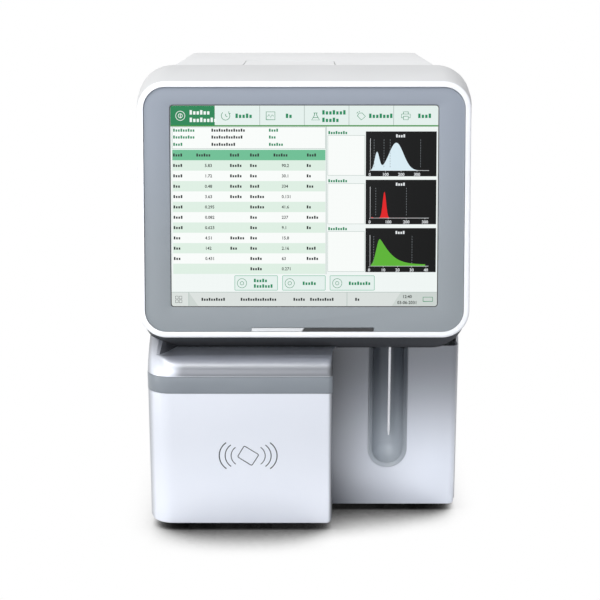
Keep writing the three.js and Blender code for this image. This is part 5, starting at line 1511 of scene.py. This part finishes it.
# Each sun's name, place, power, softness and tint
KEY = ("key_light", (-0.28, -0.42, 1.0), 2.1, math.radians(34), "#fffdf8")
FRONT_FILL = ("front_fill", (-0.35, -1.0, 0.22), 1.25, math.radians(40), "#f8faff")
# The lit strip at the left
STRIP_PLACE = (-0.85, -0.45, 0.14)
STRIP_AIM = (-0.1, -0.15, 0.1)
STRIP_SIZE = (0.12, 0.5)
STRIP_POWER = 1.6
EYE = (-1191.4, 517.4)  # in front of the screen's middle, and over the floor
EYE_PITCH = 13.58
LENS = 78.34
LENS_SHIFT = -0.0072


def seen(tree):
    """1 for rays from the eye, a mirror or a clear piece, and 0 for those that carry light."""
    rays = add(tree, "ShaderNodeLightPath").outputs
    kinds = ("Camera", "Glossy", "Transmission")
    return combined(tree, "MAXIMUM", *[rays[f"Is {kind} Ray"] for kind in kinds])


def white_surroundings():
    world = bpy.data.worlds.new("studio")
    bpy.context.scene.world = world
    world.use_nodes = True
    tree = world.node_tree
    tree.nodes.clear()
    seen_share = seen(tree)
    tint = mixed(tree, seen_share, WORLD_TINT, "#ffffff")
    light = spread(tree, seen_share, (WORLD_LIGHT, 1.0))
    back = add(tree, "ShaderNodeBackground", {"Color": tint, "Strength": light})
    add(tree, "ShaderNodeOutputWorld", {"Surface": back.outputs["Background"]})


def pale_floor():
    """A white floor that keeps the soft dark shadow where the machine stands."""
    floor = made("studio_floor", bpy.ops.mesh.primitive_plane_add, size=30, location=(0, 0, 0))
    material, tree, _ = new_finish("pale_floor")
    leaning = add(tree, "ShaderNodeCombineXYZ", dict(zip("XYZ", SHADOW_LEAN))).outputs[0]
    open_share = add(tree, "ShaderNodeAmbientOcclusion", {"Distance": SHADOW_REACH, "Normal": leaning},
                     samples=24).outputs["AO"]
    shade = ramped(tree, open_share, *SHADOW_SHARES)
    diffuse = add(tree, "ShaderNodeBsdfDiffuse", {"Color": linear(FLOOR_BOUNCE)})
    glow = add(tree, "ShaderNodeEmission", {"Color": linear("#ffffff"), "Strength": shade})
    both = add(tree, "ShaderNodeMixShader", {0: seen(tree), 1: diffuse.outputs[0], 2: glow.outputs[0]})
    add(tree, "ShaderNodeOutputMaterial", {"Surface": both.outputs[0]})
    floor.data.materials.append(material)


def lamp(name, kind, place, power, aim):
    piece = made(name, bpy.ops.object.light_add, type=kind, location=place)
    piece.data.energy = power
    piece.rotation_euler = (Vector(aim) - piece.location).to_track_quat("-Z", "Y").to_euler()
    return piece.data


def lamps():
    for name, place, power, softness, tint in (KEY, FRONT_FILL):
        sun = lamp(name, "SUN", place, power, (0, 0, 0))
        sun.angle = softness
        sun.color = linear(tint)[:3]
    strip = lamp("left_strip_light", "AREA", STRIP_PLACE, STRIP_POWER, STRIP_AIM)
    strip.shape = "RECTANGLE"
    strip.size, strip.size_y = STRIP_SIZE


def camera():
    forward, height = EYE
    view = made("Camera", bpy.ops.object.camera_add, location=(0, (forward + SHIFT) * MM, height * MM),
                rotation=(math.radians(90 - EYE_PITCH), 0, 0))
    view.data.lens = LENS
    view.data.shift_x = LENS_SHIFT
    bpy.context.scene.camera = view


white_surroundings()
pale_floor()
lamps()
camera()
bpy.context.scene.view_settings.view_transform = "Standard"
